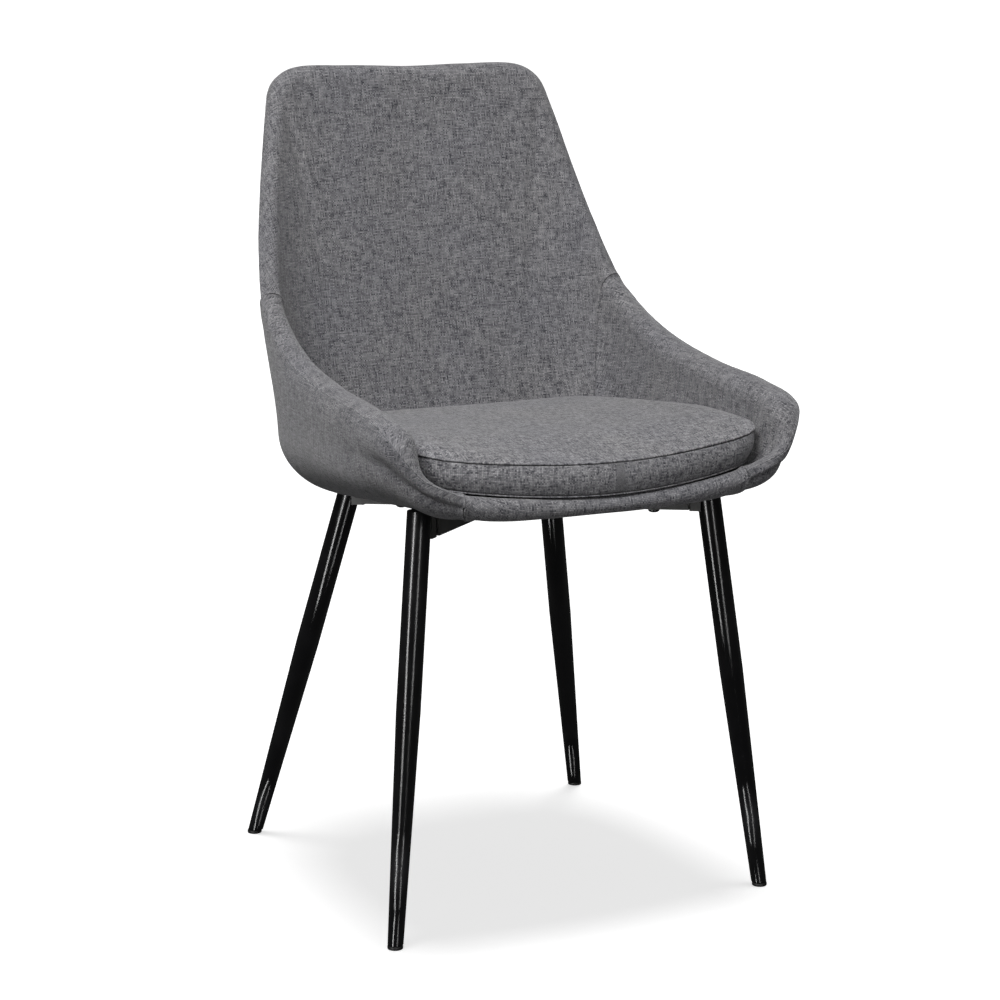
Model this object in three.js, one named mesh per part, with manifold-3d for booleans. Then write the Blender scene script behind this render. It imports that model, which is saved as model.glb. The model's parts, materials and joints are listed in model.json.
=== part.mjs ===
// Upholstered bucket dining chair on four tapered steel legs, built as the real one comes apart on a bench.
// Millimetres, +Z up, the sitter faces -Y. Lengths along Y are given from the middle of the feet, and the
// finished chair is then moved so that the origin is on the floor below the middle of its width and depth.
import * as THREE from 'three';
import { mergeVertices } from 'three/addons/utils/BufferGeometryUtils.js';
import Module from 'manifold-3d';

const wasm = await Module();
wasm.setup();

// ---- Driving dimensions ---------------------------------------------------------------------------------

const MIDDLE_Y = -6.5;           // middle of the overall depth, from the middle of the feet
const GAP = 0.3;                 // air left between pieces that touch
const SEAT_FALL = 0.061;         // the seat and its frame drop this much per millimetre towards the back
const UNDERSIDE_Z = 424.5;       // the upholstered underside at the middle of the feet

const COVER = 2;                 // woven cover
const CLOTH = 1;                 // non-woven cloth below the bucket and on the deck
const SHELL_WALL = 6;            // moulded inner shell, round the sides
const SHELL_BASE = 7;            // the same shell's thick base, which the bolts go into
const LAYER_GAP = 0.8;           // air between the curved layers of the bucket
const PADDING_GAP = 1.6;         // air between the padding and the covers
const EDGE_DROP = 2.5;           // how far the shell's upper edge stops short of the padding over it
const SHELL_SHARE = 0.5;         // how far through the padding the shell lies, from inside to outside
const PAN_DEPTH = 15;            // from the underside up to the deck that the cushion lies on
const SEAM_WIDTH = 9;            // width of the flat where the inner and outer covers are sewn together
const SEAM_ANGLE = 0.72;         // how far up the rolled edge it lies, from its outer side, in radians

const LEG = { radius: 12.5, footRadius: 8, wall: 1.6, taperTop: 240, topGap: 3, sides: 20 };
const FRONT_LEG = { foot: [214.5, -204.5], top: [168, -165] };
const REAR_LEG = { foot: [206.5, 204.5], top: [119.5, 111.5] };
const LEG_TOP_Z = 420;           // height at which the legs' upper points are given
const GLIDE = { height: 4, plugRadius: 5.9, plugHeight: 22 };

const BAR = { width: 30, height: 24, wall: 2 };
const PLATE = { thickness: 4, width: 24, drop: 1.5 };
const TONGUE = { width: 24, height: 18, length: 56 };
const BOLT = { radius: 3, headRadius: 6.2, headHeight: 3.4, sides: 12 };
const WASHER = { radius: 7.5, thickness: 1.2 };
const LEG_BOLT_REACH = 60;       // from the leg's middle along the bar
const SEAT_BOLT_REACH = 70;      // from the middle of the frame along the bar
const INSERT = { radius: 5, depth: 6 };

// ---- Materials ------------------------------------------------------------------------------------------

const paint = (color, roughness, metalness = 0) =>
  new THREE.MeshStandardMaterial({ color, roughness, metalness });
const FABRIC = paint(0x6b6b6e, 0.95);
const BLACK_CLOTH = paint(0x1b1b1c, 0.95);
const FOAM = paint(0xd8d0b8, 0.9);
const PLASTIC = paint(0x2a2a2c, 0.6);
const BLACK_STEEL = paint(0x111112, 0.38, 0.6);
const ZINC = paint(0x8d9094, 0.35, 1);
const GLIDE_PLASTIC = paint(0x151515, 0.6);

const chair = new THREE.Group();
const addPiece = (name, geometry, material) => {
  const mesh = new THREE.Mesh(geometry, material);
  mesh.name = name;
  chair.add(mesh);
  return mesh;
};

// ---- Solids from grids of points ------------------------------------------------------------------------

const undersideZ = (y) => UNDERSIDE_Z - SEAT_FALL * y;
const mix = (a, b, share) => a.clone().lerp(b, share);

/** A closed geometry from triangles of points: flat ones are dropped and the faces are turned outwards. */
function closedGeometry(triangles) {
  const real = triangles.filter(([a, b, c]) => b.clone().sub(a).cross(c.clone().sub(a)).length() > 1e-6);
  const volume = real.reduce((sum, [a, b, c]) => sum + a.dot(b.clone().cross(c)), 0);
  const points = real.flatMap(([a, b, c]) => (volume > 0 ? [a, b, c] : [a, c, b]));
  return new THREE.BufferGeometry().setFromPoints(points);
}

/** The solid between two grids of the same size. Rows run outwards and columns run along. */
function solidBetween(near, far, closedRound) {
  const rows = near.length - 1;
  const columns = closedRound ? near[0].length : near[0].length - 1;
  const next = (j) => (closedRound ? (j + 1) % columns : j + 1);
  const triangles = [];
  const quad = (a, b, c, d) => triangles.push([a, b, c], [a, c, d]);
  for (let i = 0; i < rows; i++) {
    for (let j = 0; j < columns; j++) {
      const k = next(j);
      quad(near[i][j], near[i][k], near[i + 1][k], near[i + 1][j]);
      quad(far[i][j], far[i + 1][j], far[i + 1][k], far[i][k]);
    }
    if (!closedRound) {
      quad(near[i][0], near[i + 1][0], far[i + 1][0], far[i][0]);
      quad(near[i][columns], far[i][columns], far[i + 1][columns], near[i + 1][columns]);
    }
  }
  for (let j = 0; j < columns; j++) {
    const k = next(j);
    quad(near[0][j], far[0][j], far[0][k], near[0][k]);
    quad(near[rows][j], near[rows][k], far[rows][k], far[rows][j]);
  }
  return closedGeometry(triangles);
}

// ---- Booleans -------------------------------------------------------------------------------------------

function toSolid(geometry) {
  const bare = new THREE.BufferGeometry().setAttribute('position', geometry.getAttribute('position'));
  if (geometry.index) bare.setIndex(geometry.index);
  const merged = mergeVertices(bare, 1e-4);
  return new wasm.Manifold(new wasm.Mesh({
    numProp: 3,
    vertProperties: merged.attributes.position.array,
    triVerts: new Uint32Array(merged.index.array),
  }));
}

function toGeometry(solid) {
  const mesh = solid.getMesh();
  return new THREE.BufferGeometry()
    .setAttribute('position', new THREE.BufferAttribute(mesh.vertProperties, 3))
    .setIndex(new THREE.BufferAttribute(mesh.triVerts, 1));
}

/** A cylinder standing on z = bottom, on the local Z axis. */
function rod(radius, bottom, top, sides = BOLT.sides) {
  return new THREE.CylinderGeometry(radius, radius, top - bottom, sides)
    .rotateX(Math.PI / 2).translate(0, 0, (bottom + top) / 2);
}

/** A box between two heights, centred on the local Z axis. */
function slab(x, y, bottom, top) {
  return new THREE.BoxGeometry(x, y, top - bottom).translate(0, 0, (bottom + top) / 2);
}

// ---- The padded bucket ----------------------------------------------------------------------------------

// Ribs of the right half, from the middle of the front lip, round the arm and up the back to its middle.
// crest is the top of the rolled edge, belly the lowest point of the outer wall before it turns under,
// roll the radius of the rolled edge, tuck and deck how far the underside and the deck stop short of belly,
// and dip the slope at which the underside leaves the pan.
const RIBS = [
  { crest: [0, -258, 455], belly: [0, -266, 443.5], roll: 9, tuck: 18, deck: 34, dip: -0.3 },
  { crest: [100, -253, 459], belly: [100, -261.5, 446], roll: 9, tuck: 20, deck: 34, dip: -0.2 },
  { crest: [160, -246, 469], belly: [161, -253, 454], roll: 10, tuck: 42, deck: 42, dip: 0.15 },
  { crest: [203, -254, 490], belly: [202, -250, 470], roll: 10, tuck: 64, deck: 48, dip: 0.3 },
  { crest: [222, -236, 532], belly: [227, -206, 490], roll: 16, tuck: 86, deck: 60, dip: 0.4 },
  { crest: [221, -170, 548], belly: [236, -150, 488], roll: 18, tuck: 88, deck: 62, dip: 0.25 },
  { crest: [219, -75, 557], belly: [237, -72, 484], roll: 18, tuck: 82, deck: 60, dip: 0.15 },
  { crest: [217, 20, 575], belly: [233, 16, 480], roll: 17, tuck: 72, deck: 54, dip: 0 },
  { crest: [214, 82, 600], belly: [221, 80, 480], roll: 14, tuck: 66, deck: 52, dip: 0 },
  { crest: [211, 122, 628], belly: [202, 119, 480], roll: 12, tuck: 62, deck: 50, dip: 0 },
  { crest: [203, 158, 684], belly: [179, 143, 478], roll: 12, tuck: 58, deck: 50, dip: 0 },
  { crest: [188, 188, 750], belly: [155, 156, 476], roll: 13, tuck: 54, deck: 52, dip: 0 },
  { crest: [173, 211, 812], belly: [129, 163, 474], roll: 13, tuck: 52, deck: 52, dip: 0 },
  { crest: [162, 224, 846], belly: [107, 166, 472], roll: 13, tuck: 48, deck: 51, dip: 0 },
  { crest: [141, 233, 861], belly: [86, 168, 470], roll: 13, tuck: 46, deck: 50, dip: 0 },
  { crest: [70, 240, 862], belly: [42, 170, 469], roll: 14, tuck: 44, deck: 48, dip: 0 },
  { crest: [0, 243, 859], belly: [0, 171, 469], roll: 14, tuck: 44, deck: 47, dip: 0 },
];
const STEPS = [1, 1, 2, 2, 1, 1, 1, 1, 1, 1, 1, 1, 1, 1, 1, 1];   // stations from each rib to the next
const LIP_RIB = 2;               // the front band is sewn to the side covers here
const WING_RIB = 9;              // the back covers are sewn to the side covers here
const SEAT_CENTRE = new THREE.Vector3(0, -50, 0);

/** The full ring of one value of the ribs, as a closed curve: the right half, then its mirror image. */
function ringOf(valueOf) {
  const half = RIBS.map(valueOf);
  const mirror = half.slice(1, -1).reverse().map((p) => new THREE.Vector3(-p.x, p.y, p.z));
  return new THREE.CatmullRomCurve3([...half, ...mirror], true, 'centripetal');
}
/** The same for widths, which don't change sign in the mirror image. */
function widthRingOf(valueOf) {
  const half = RIBS.map(valueOf);
  return new THREE.CatmullRomCurve3([...half, ...half.slice(1, -1).reverse()], true, 'centripetal');
}
const crestRing = ringOf((r) => new THREE.Vector3(...r.crest));
const bellyRing = ringOf((r) => new THREE.Vector3(...r.belly));
const widthRing = widthRingOf((r) => new THREE.Vector3(r.roll, r.tuck, r.deck));
// The dip is spaced round the ring as the belly is.
const dipRing = widthRingOf((r) => new THREE.Vector3(r.belly[1], r.belly[2], r.dip));

// Where the stations stand on the ring, counted in ribs.
const ringLength = 2 * (RIBS.length - 1);
const halfPlaces = STEPS.flatMap((n, rib) => Array.from({ length: n }, (_, k) => rib + k / n));
const PLACES = [...halfPlaces, ...[RIBS.length - 1, ...halfPlaces.slice(1).reverse()]
  .map((place, k) => (k === 0 ? place : ringLength - place))];

/** Points of a cubic curve from a to d, with handles along the two directions. */
function sweep(a, aDirection, d, dDirection, handles, steps) {
  const curve = new THREE.CubicBezierCurve3(
    a, a.clone().addScaledVector(aDirection, handles[0]),
    d.clone().addScaledVector(dDirection, handles[1]), d,
  );
  return curve.getPoints(steps);
}

const UP = new THREE.Vector3(0, 0, 1);
const ROLL_BASE = 0.2;           // the rolled edge leans away from a point this far in from the belly
const FULL_WALL = 60;            // walls lower than this stand upright, as on the lip
const SQUARENESS = 0.6;          // how far the rolled edge's section stands square to the rim, from 0 to 1
const FILLET_STEPS = 3;
const WALL_STEPS = 4;
const ROLL_STEPS = 4;

/** One station's inner and outer lines, from the middle of the pan out and up to the crest. */
function station(place) {
  const share = place / ringLength;
  const crest = crestRing.getPoint(share);
  const belly = bellyRing.getPoint(share);
  const { x: roll, y: tuck, z: deckIn } = widthRing.getPoint(share);
  const out = belly.clone().sub(SEAT_CENTRE).setZ(0).normalize();
  const tuckPoint = belly.clone().addScaledVector(out, -tuck);
  tuckPoint.z = undersideZ(tuckPoint.y);
  const deck = belly.clone().addScaledVector(out, -deckIn);
  deck.z = undersideZ(deck.y) + PAN_DEPTH;

  // The rolled edge turns about its own line: along runs round the rim, over points to the crest.
  const along = crestRing.getTangent(share);
  const over = crest.clone().sub(mix(belly, deck, ROLL_BASE));
  const lean = Math.min(1, over.z / FULL_WALL);
  over.set(over.x * lean, over.y * lean, over.z);
  over.addScaledVector(along, -SQUARENESS * lean * over.dot(along)).normalize();
  const outwards = along.clone().cross(over);
  const centre = crest.clone().addScaledVector(over, -roll);
  const halfSeam = Math.asin(SEAM_WIDTH / 2 / roll);
  const rollLine = (from, to) => Array.from({ length: ROLL_STEPS + 1 }, (_, k) => {
    const angle = from + (to - from) * k / ROLL_STEPS;
    return centre.clone().addScaledVector(over, roll * Math.sin(angle))
      .addScaledVector(outwards, roll * Math.cos(angle));
  });

  const outerRoll = rollLine(0, SEAM_ANGLE - halfSeam);
  // Where the roll is low, as on the lip, it starts where it rises out of the deck.
  const buried = Math.min(Math.max((deck.z + 2 - centre.z) / roll, 0), 0.9);
  const innerRoll = rollLine(Math.PI - Math.asin(buried), SEAM_ANGLE + halfSeam);
  const back = over.clone().negate();
  const reach = outerRoll[0].distanceTo(belly) * 0.4;
  const innerReach = innerRoll[0].distanceTo(deck) / 3;
  const turn = belly.distanceTo(tuckPoint) * 0.42;
  const leaving = out.clone().setZ(dipRing.getPoint(share).z);
  const under = sweep(tuckPoint, leaving, belly, UP.clone().negate(), [turn, turn * 0.8], FILLET_STEPS);
  const rising = UP.clone().lerp(outerRoll[0].clone().sub(belly).normalize(), 0.5);
  const outerWall = sweep(belly, rising, outerRoll[0], back, [reach, Math.min(reach, 30)], WALL_STEPS);
  const innerHandles = [Math.min(innerReach, 22), Math.min(innerReach, 30) * lean];
  const innerAll = sweep(deck, out, innerRoll[0], back, innerHandles, FILLET_STEPS + WALL_STEPS);
  return {
    outer: [...under, ...outerWall.slice(1), ...outerRoll.slice(1)],
    inner: [...innerAll, ...innerRoll.slice(1)],
    seamOut: outwards.clone().multiplyScalar(Math.cos(SEAM_ANGLE))
      .addScaledVector(over, Math.sin(SEAM_ANGLE)),
  };
}

const STATIONS = PLACES.map(station);
const panCentre = new THREE.Vector3(0, SEAT_CENTRE.y, undersideZ(SEAT_CENTRE.y));
const deckCentre = panCentre.clone().setZ(panCentre.z + PAN_DEPTH);
const ROWS = STATIONS[0].outer.length + 1;
const PAN_ROW = 1, SHELL_ROW = ROWS - 1 - ROLL_STEPS, CREST_ROW = ROWS - 1;

/** Row 0 is the middle of the pan, row 1 the edge of the pan, and the last row the crest. */
const innerGrid = Array.from({ length: ROWS }, (_, i) =>
  STATIONS.map((s) => (i === 0 ? deckCentre : s.inner[i - 1])));
const outerGrid = Array.from({ length: ROWS }, (_, i) =>
  STATIONS.map((s) => (i === 0 ? panCentre : s.outer[i - 1])));

/** Points some distance into the padding, from the inner face if it is positive, else from the outer one. */
function layer(distanceAt, rows, columns) {
  return rows.map((i) => columns.map((j) => {
    const inner = innerGrid[i][j];
    const outer = outerGrid[i][j];
    const depth = inner.distanceTo(outer);
    const distance = distanceAt(depth, i);
    return mix(inner, outer, (distance >= 0 ? distance : depth + distance) / depth);
  }));
}
const range = (from, to) => Array.from({ length: to - from + 1 }, (_, k) => from + k);
const ALL_ROUND = range(0, STATIONS.length - 1);
const faceIn = (distance) => () => distance;
const faceOut = (distance) => (depth) => depth - distance;

/** The station that stands on a rib, on the right half or, mirrored, on the left. */
const stationAt = (rib) => PLACES.indexOf(rib);
const mirrored = (column) => (STATIONS.length - column) % STATIONS.length;
const LIP = stationAt(LIP_RIB);
const WING = stationAt(WING_RIB);

/** A grid whose two sewn sides are drawn in to leave air between neighbouring panels. */
const trimmed = (grid) => grid.map((row) => {
  const last = row.length - 1;
  const drawnIn = (from, to) => row[from].clone().lerp(row[to], GAP / row[from].distanceTo(row[to]));
  return [drawnIn(0, 1), ...row.slice(1, last), drawnIn(last, last - 1)];
});

/** A cover panel on one face of the bucket, between two stations. */
function coverPanel(name, distanceAt, from, to) {
  const count = ((to - from + STATIONS.length) % STATIONS.length) + 1;
  const columns = Array.from({ length: count }, (_, k) => (from + k) % STATIONS.length);
  const rows = range(PAN_ROW, CREST_ROW);
  const surface = (distance) => trimmed(layer(distanceAt(distance), rows, columns));
  addPiece(name, solidBetween(surface(0), surface(COVER), false), FABRIC);
}
for (const [face, distanceAt] of [['inner', faceIn], ['outer', faceOut]]) {
  coverPanel(`${face}_back_cover`, distanceAt, WING, mirrored(WING));
  coverPanel(`${face}_side_cover_right`, distanceAt, LIP, WING);
  coverPanel(`${face}_side_cover_left`, distanceAt, mirrored(WING), mirrored(LIP));
}

// The front band is one strip, from the deck over the lip to the underside.
const lipColumns = Array.from({ length: 2 * LIP + 1 },
  (_, k) => (k - LIP + STATIONS.length) % STATIONS.length);
const lipRows = range(PAN_ROW, CREST_ROW);
const BAND_RISE = 2;             // how far the band's top stands over the flat of the other covers' seam
const BAND_WALL = 1.5;           // its thickness there
const overTheLip = (inset, rise) => [
  ...layer(faceIn(inset), lipRows, lipColumns),
  lipColumns.map((j) => mix(innerGrid[CREST_ROW][j], outerGrid[CREST_ROW][j], 0.5)
    .addScaledVector(STATIONS[j].seamOut, rise)),
  ...layer(faceOut(inset), lipRows, lipColumns).reverse(),
];
addPiece('front_band', solidBetween(
  trimmed(overTheLip(0, BAND_RISE)), trimmed(overTheLip(COVER, BAND_RISE - BAND_WALL)), false,
), FABRIC);

// The moulded shell runs from the pan up to the rolled edge; the inner padding wraps over that edge.
const shellWall = (depth) => SHELL_WALL * Math.min(1, depth / 30);
/** A height over the underside, as a depth. */
const inPan = (depth, height) => depth * (1 - height / PAN_DEPTH);
const baseFoot = COVER + LAYER_GAP;
const shellTop = (depth, i) => (i <= PAN_ROW ? inPan(depth, baseFoot + SHELL_BASE) : depth * SHELL_SHARE);
const shellUnder = (depth, i) =>
  (i <= PAN_ROW ? inPan(depth, baseFoot) : depth * SHELL_SHARE + shellWall(depth));
const shellRows = range(0, SHELL_ROW);
/** A grid whose last row is drawn down a little, clear of the padding that wraps over it. */
const lowered = (grid) => {
  const last = grid.length - 1;
  const top = grid[last].map((p, j) => {
    const below = grid[last - 1][j];
    return p.clone().lerp(below, EDGE_DROP / p.distanceTo(below));
  });
  return [...grid.slice(0, last), top];
};
const allRows = range(0, CREST_ROW);
const outerRows = range(PAN_ROW + 1, SHELL_ROW);
const paddingTop = (depth, i) => {
  if (i < PAN_ROW) return CLOTH + LAYER_GAP;
  return COVER + PADDING_GAP + (i > SHELL_ROW ? LAYER_GAP : 0);
};
const paddingUnder = (depth, i) =>
  (i <= SHELL_ROW ? shellTop(depth, i) - LAYER_GAP : depth - COVER - PADDING_GAP);
addPiece('outer_padding', solidBetween(
  lowered(layer((depth, i) => shellUnder(depth, i) + LAYER_GAP, outerRows, ALL_ROUND)),
  lowered(layer(faceOut(COVER + PADDING_GAP), outerRows, ALL_ROUND)), true,
), FOAM);
const shellGeometry = solidBetween(
  lowered(layer(shellTop, shellRows, ALL_ROUND)), lowered(layer(shellUnder, shellRows, ALL_ROUND)), true,
);
const shell = addPiece('inner_shell', shellGeometry, PLASTIC);
addPiece('inner_padding', solidBetween(
  layer(paddingTop, allRows, ALL_ROUND), layer(paddingUnder, allRows, ALL_ROUND), true,
), FOAM);

/** A flat cloth over the pan, drawn in from the sewn edge of the covers. */
function panCloth(distanceAt) {
  const surface = (distance) => layer(distanceAt(distance), [0, PAN_ROW], ALL_ROUND).map((row, i) =>
    row.map((p) => p.clone().lerp(SEAT_CENTRE.clone().setZ(p.z), i === 0 ? 0 : 0.006)));
  return solidBetween(surface(0), surface(CLOTH), true);
}
addPiece('deck_cloth', panCloth(faceIn), BLACK_CLOTH);

// ---- Seat cushion ---------------------------------------------------------------------------------------

const CUSHION = { halfWidth: 198, front: -267, back: 129, crown: 17, rings: 3, skin: 2, edgePoints: 32 };
const CUSHION_CENTRE = new THREE.Vector3(0, -70, 0);
const CUSHION_LIFT = 3;          // the cushion's underside over the deck
const UNDER_WIDTH = 0.95;       // how much narrower the cushion is at its underside
const UNDER_BACK = 0.84;         // and how much shorter behind the origin, where the back curves in under it
const TOP_RISE = 14;             // how much higher the cushion's upper edge stands at its sides
const BOTTOM_RISE = 20;          // and its lower edge
const cushionHalf = [
  [0, CUSHION.front], [100, -257], [168, -240], [188, -222], [CUSHION.halfWidth, -170],
  [CUSHION.halfWidth, -60], [188, 40], [165, 104], [110, CUSHION.back - 5], [0, CUSHION.back],
].map(([x, y]) => new THREE.Vector3(x, y, 0));
const cushionPlan = new THREE.CatmullRomCurve3([
  ...cushionHalf,
  ...cushionHalf.slice(1, -1).reverse().map((p) => new THREE.Vector3(-p.x, p.y, 0)),
], true, 'centripetal').getSpacedPoints(CUSHION.edgePoints).slice(0, CUSHION.edgePoints);
const acrossRise = (rise, x) => rise * (x / CUSHION.halfWidth) ** 2;
const cushionBottom = (p) => undersideZ(p.y) + PAN_DEPTH + CUSHION_LIFT + acrossRise(BOTTOM_RISE, p.x);
const cushionTop = (p) => 491 - 0.0126 * (p.y - CUSHION.front) + acrossRise(TOP_RISE, p.x);

/** A ring of the cushion's plan, drawn in by a share, at a height over its bottom or its top. */
const cushionRing = (inset, heightAt, lift) => cushionPlan.map((p) => {
  const q = p.clone().lerp(CUSHION_CENTRE, inset);
  if (heightAt === cushionBottom) q.set(q.x * UNDER_WIDTH, q.y > 0 ? q.y * UNDER_BACK : q.y, 0);
  q.z = heightAt(q) + lift;
  return q;
});
/** A face of the cushion: rings from its middle out to its rim, crowned over the rim. */
const cushionFace = (heightAt, lift, crown, inset) => range(0, CUSHION.rings).map((k) => {
  const share = k / CUSHION.rings;
  return cushionRing(1 - share * (1 - inset), heightAt, lift + crown * (1 - share ** 3));
});
const { skin, crown } = CUSHION;
const PANEL_INSET = 0.012;
const FOAM_INSET = 0.024;
const panel = (heightAt, lift, bulge) => {
  const surface = (height) => cushionFace(heightAt, height, bulge, PANEL_INSET);
  return solidBetween(surface(lift), surface(lift + skin), true);
};
addPiece('cushion_bottom_panel', panel(cushionBottom, 0, 0), FABRIC);
addPiece('cushion_top_panel', panel(cushionTop, -skin, crown), FABRIC);
const bandEdges = (inset) => [
  cushionRing(inset, cushionBottom, skin + LAYER_GAP), cushionRing(inset, cushionTop, -skin - LAYER_GAP),
];
addPiece('cushion_boxing', solidBetween(bandEdges(0), bandEdges(PANEL_INSET), true), FABRIC);
addPiece('cushion_foam', solidBetween(
  cushionFace(cushionBottom, skin + LAYER_GAP, 0, FOAM_INSET),
  cushionFace(cushionTop, -skin - LAYER_GAP, crown, FOAM_INSET), true,
), FOAM);

// ---- Cross frame, in the tilted plane of the underside --------------------------------------------------

const frame = new THREE.Group();
frame.position.set(0, 0, UNDERSIDE_Z);
frame.rotation.x = -Math.atan(SEAT_FALL);
chair.add(frame);
frame.updateMatrix();
const toFrame = frame.matrix.clone().invert();

const BAR_TOP = -GAP;
const BAR_BOTTOM = BAR_TOP - BAR.height;
const LEGS = [
  ['front_left', FRONT_LEG, -1], ['front_right', FRONT_LEG, 1],
  ['rear_left', REAR_LEG, -1], ['rear_right', REAR_LEG, 1],
].map(([name, { foot, top }, side]) => {
  const bottom = new THREE.Vector3(side * foot[0], foot[1], 0);
  const upper = new THREE.Vector3(side * top[0], top[1], LEG_TOP_Z);
  return { name, foot: bottom, direction: upper.sub(bottom).normalize() };
});

/** Where a leg's middle line passes the middle height of the bars, in the frame's own plane. */
function legInFrame(leg) {
  const foot = leg.foot.clone().applyMatrix4(toFrame);
  const direction = leg.direction.clone().transformDirection(toFrame);
  const middle = (BAR_TOP + BAR_BOTTOM) / 2;
  return foot.addScaledVector(direction, (middle - foot.z) / direction.z).setZ(0);
}
const frameCentre = new THREE.Vector3(0, 0, 0);
{
  const front = legInFrame(LEGS[1]);
  const rear = legInFrame(LEGS[2]);
  frameCentre.y = front.y - front.x * (front.y - rear.y) / (front.x - rear.x);
}

/** A solid of the frame, made along +X from the middle of the frame and turned out towards a leg. */
function towards(leg, geometry) {
  const reach = legInFrame(leg).sub(frameCentre);
  return geometry.rotateZ(Math.atan2(reach.y, reach.x)).translate(frameCentre.x, frameCentre.y, 0);
}
const along = (x0, x1, width, z0, z1) =>
  new THREE.BoxGeometry(x1 - x0, width, z1 - z0).translate((x0 + x1) / 2, 0, (z0 + z1) / 2);
const upright = (x, radius, z0, z1) => rod(radius, z0, z1).translate(x, 0, 0);
const inFrame = (name, solid, material) => {
  const mesh = new THREE.Mesh(solid.isBufferGeometry ? solid : toGeometry(solid), material);
  mesh.name = name;
  frame.add(mesh);
};

/** The leg's tube at a given radius over its own, in world coordinates. */
function legTube(leg, extra, wall) {
  const length = LEG_TOP_Z + 60;
  const outer = [
    [LEG.footRadius, -20], [LEG.footRadius, 0], [LEG.radius, LEG.taperTop], [LEG.radius, length],
  ];
  const profile = outer.map(([r, z]) => new THREE.Vector2(r + extra, z));
  if (wall) {
    profile.push(...outer.map(([r, z]) => new THREE.Vector2(r - wall, z)).reverse(), profile[0].clone());
  } else {
    profile.unshift(new THREE.Vector2(0, -20));
    profile.push(new THREE.Vector2(0, length));
  }
  const turn = new THREE.Quaternion().setFromUnitVectors(UP, leg.direction);
  return new THREE.LatheGeometry(profile, LEG.sides).rotateX(Math.PI / 2)
    .applyQuaternion(turn).translate(...leg.foot.toArray());
}
/** Everything below a level plane. */
const below = (z) => toSolid(slab(800, 800, z - 200, z));
/** Everything above the tilted underside less a given drop. */
const aboveUnderside = (drop) =>
  toSolid(slab(1200, 1200, -drop, 300).applyMatrix4(frame.matrix));

/** A round-headed bolt: its head's dome hangs down from a height, and its shank ends at another. */
function boltShape(x, head, tip) {
  const dome = Array.from({ length: 4 }, (_, k) => (k / 3) * Math.PI / 2)
    .map((angle) => [BOLT.headRadius * Math.sin(angle), head - BOLT.headHeight * Math.cos(angle)]);
  const profile = [...dome, [BOLT.radius, head], [BOLT.radius, tip], [0, tip]]
    .map(([r, z]) => new THREE.Vector2(r, z));
  return new THREE.LatheGeometry(profile, BOLT.sides).rotateX(Math.PI / 2).translate(x, 0, 0);
}

const insertFoot = baseFoot;
const insertTop = insertFoot + INSERT.depth;
const barEnds = {};
for (const leg of LEGS) {
  const reach = legInFrame(leg).distanceTo(frameCentre);
  const lean = Math.hypot(leg.direction.x, leg.direction.y) / leg.direction.z * BAR.height / 2;
  const plateFace = reach - LEG.radius - lean - PLATE.thickness;
  barEnds[leg.name] = plateFace - GAP;
  const tube = toSolid(legTube(leg, 0, LEG.wall))
    .subtract(below(GLIDE.height)).subtract(aboveUnderside(LEG.topGap));
  addPiece(`leg_${leg.name}`, toGeometry(tube), BLACK_STEEL);

  const glide = toSolid(rod(LEG.footRadius, 0, GLIDE.height - GAP, LEG.sides)
    .translate(leg.foot.x, leg.foot.y, 0));
  const plug = toSolid(rod(GLIDE.plugRadius, 0, GLIDE.plugHeight)
    .applyQuaternion(new THREE.Quaternion().setFromUnitVectors(UP, leg.direction))
    .translate(...leg.foot.toArray())).subtract(below(1));
  addPiece(`glide_${leg.name}`, toGeometry(glide.add(plug)), GLIDE_PLASTIC);

  // The plate is coped round the leg, and its tongue runs into the hollow bar.
  const plateEnd = reach - LEG.radius / 2;
  const plateShape = along(plateFace, plateEnd, PLATE.width, BAR_BOTTOM - PLATE.drop, BAR_TOP - 2);
  const plate = toSolid(towards(leg, plateShape))
    .subtract(toSolid(legTube(leg, GAP, 0).applyMatrix4(toFrame)));
  inFrame(`leg_plate_${leg.name}`, plate, BLACK_STEEL);
  const middle = (BAR_TOP + BAR_BOTTOM) / 2;
  const boltAt = reach - LEG_BOLT_REACH;
  const tongueEnd = plateFace - GAP;
  const hole = (x, radius) => toSolid(towards(leg, upright(x, radius, BAR_BOTTOM - 20, 40)));
  const tongue = toSolid(towards(leg, along(tongueEnd - TONGUE.length, tongueEnd, TONGUE.width,
    middle - TONGUE.height / 2, middle + TONGUE.height / 2))).subtract(hole(boltAt, BOLT.radius + GAP));
  inFrame(`leg_tongue_${leg.name}`, tongue, ZINC);

  const fasteners = [
    ['leg', boltAt, middle + TONGUE.height / 2],
    ['seat', SEAT_BOLT_REACH, insertTop],
  ];
  for (const [kind, x, tip] of fasteners) {
    const washerTop = BAR_BOTTOM - GAP;
    const washerBottom = washerTop - WASHER.thickness;
    const head = washerBottom - GAP;
    const washer = toSolid(towards(leg, upright(x, WASHER.radius, washerBottom, washerTop)))
      .subtract(hole(x, BOLT.radius + GAP));
    inFrame(`${kind}_bolt_washer_${leg.name}`, washer, ZINC);
    inFrame(`${kind}_bolt_${leg.name}`, towards(leg, boltShape(x, head, tip)), BLACK_STEEL);
  }
  const insert = toSolid(towards(leg, upright(SEAT_BOLT_REACH, INSERT.radius, insertFoot, insertTop)))
    .subtract(hole(SEAT_BOLT_REACH, BOLT.radius + GAP));
  inFrame(`threaded_insert_${leg.name}`, insert, ZINC);
}

// One bar runs right through; the other is two halves welded against it.
const boltHoles = LEGS.flatMap((leg) => {
  const reach = legInFrame(leg).distanceTo(frameCentre);
  return [reach - LEG_BOLT_REACH, SEAT_BOLT_REACH].map((x) =>
    toSolid(towards(leg, upright(x, BOLT.radius + GAP, BAR_BOTTOM - 20, 40))));
});
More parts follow.
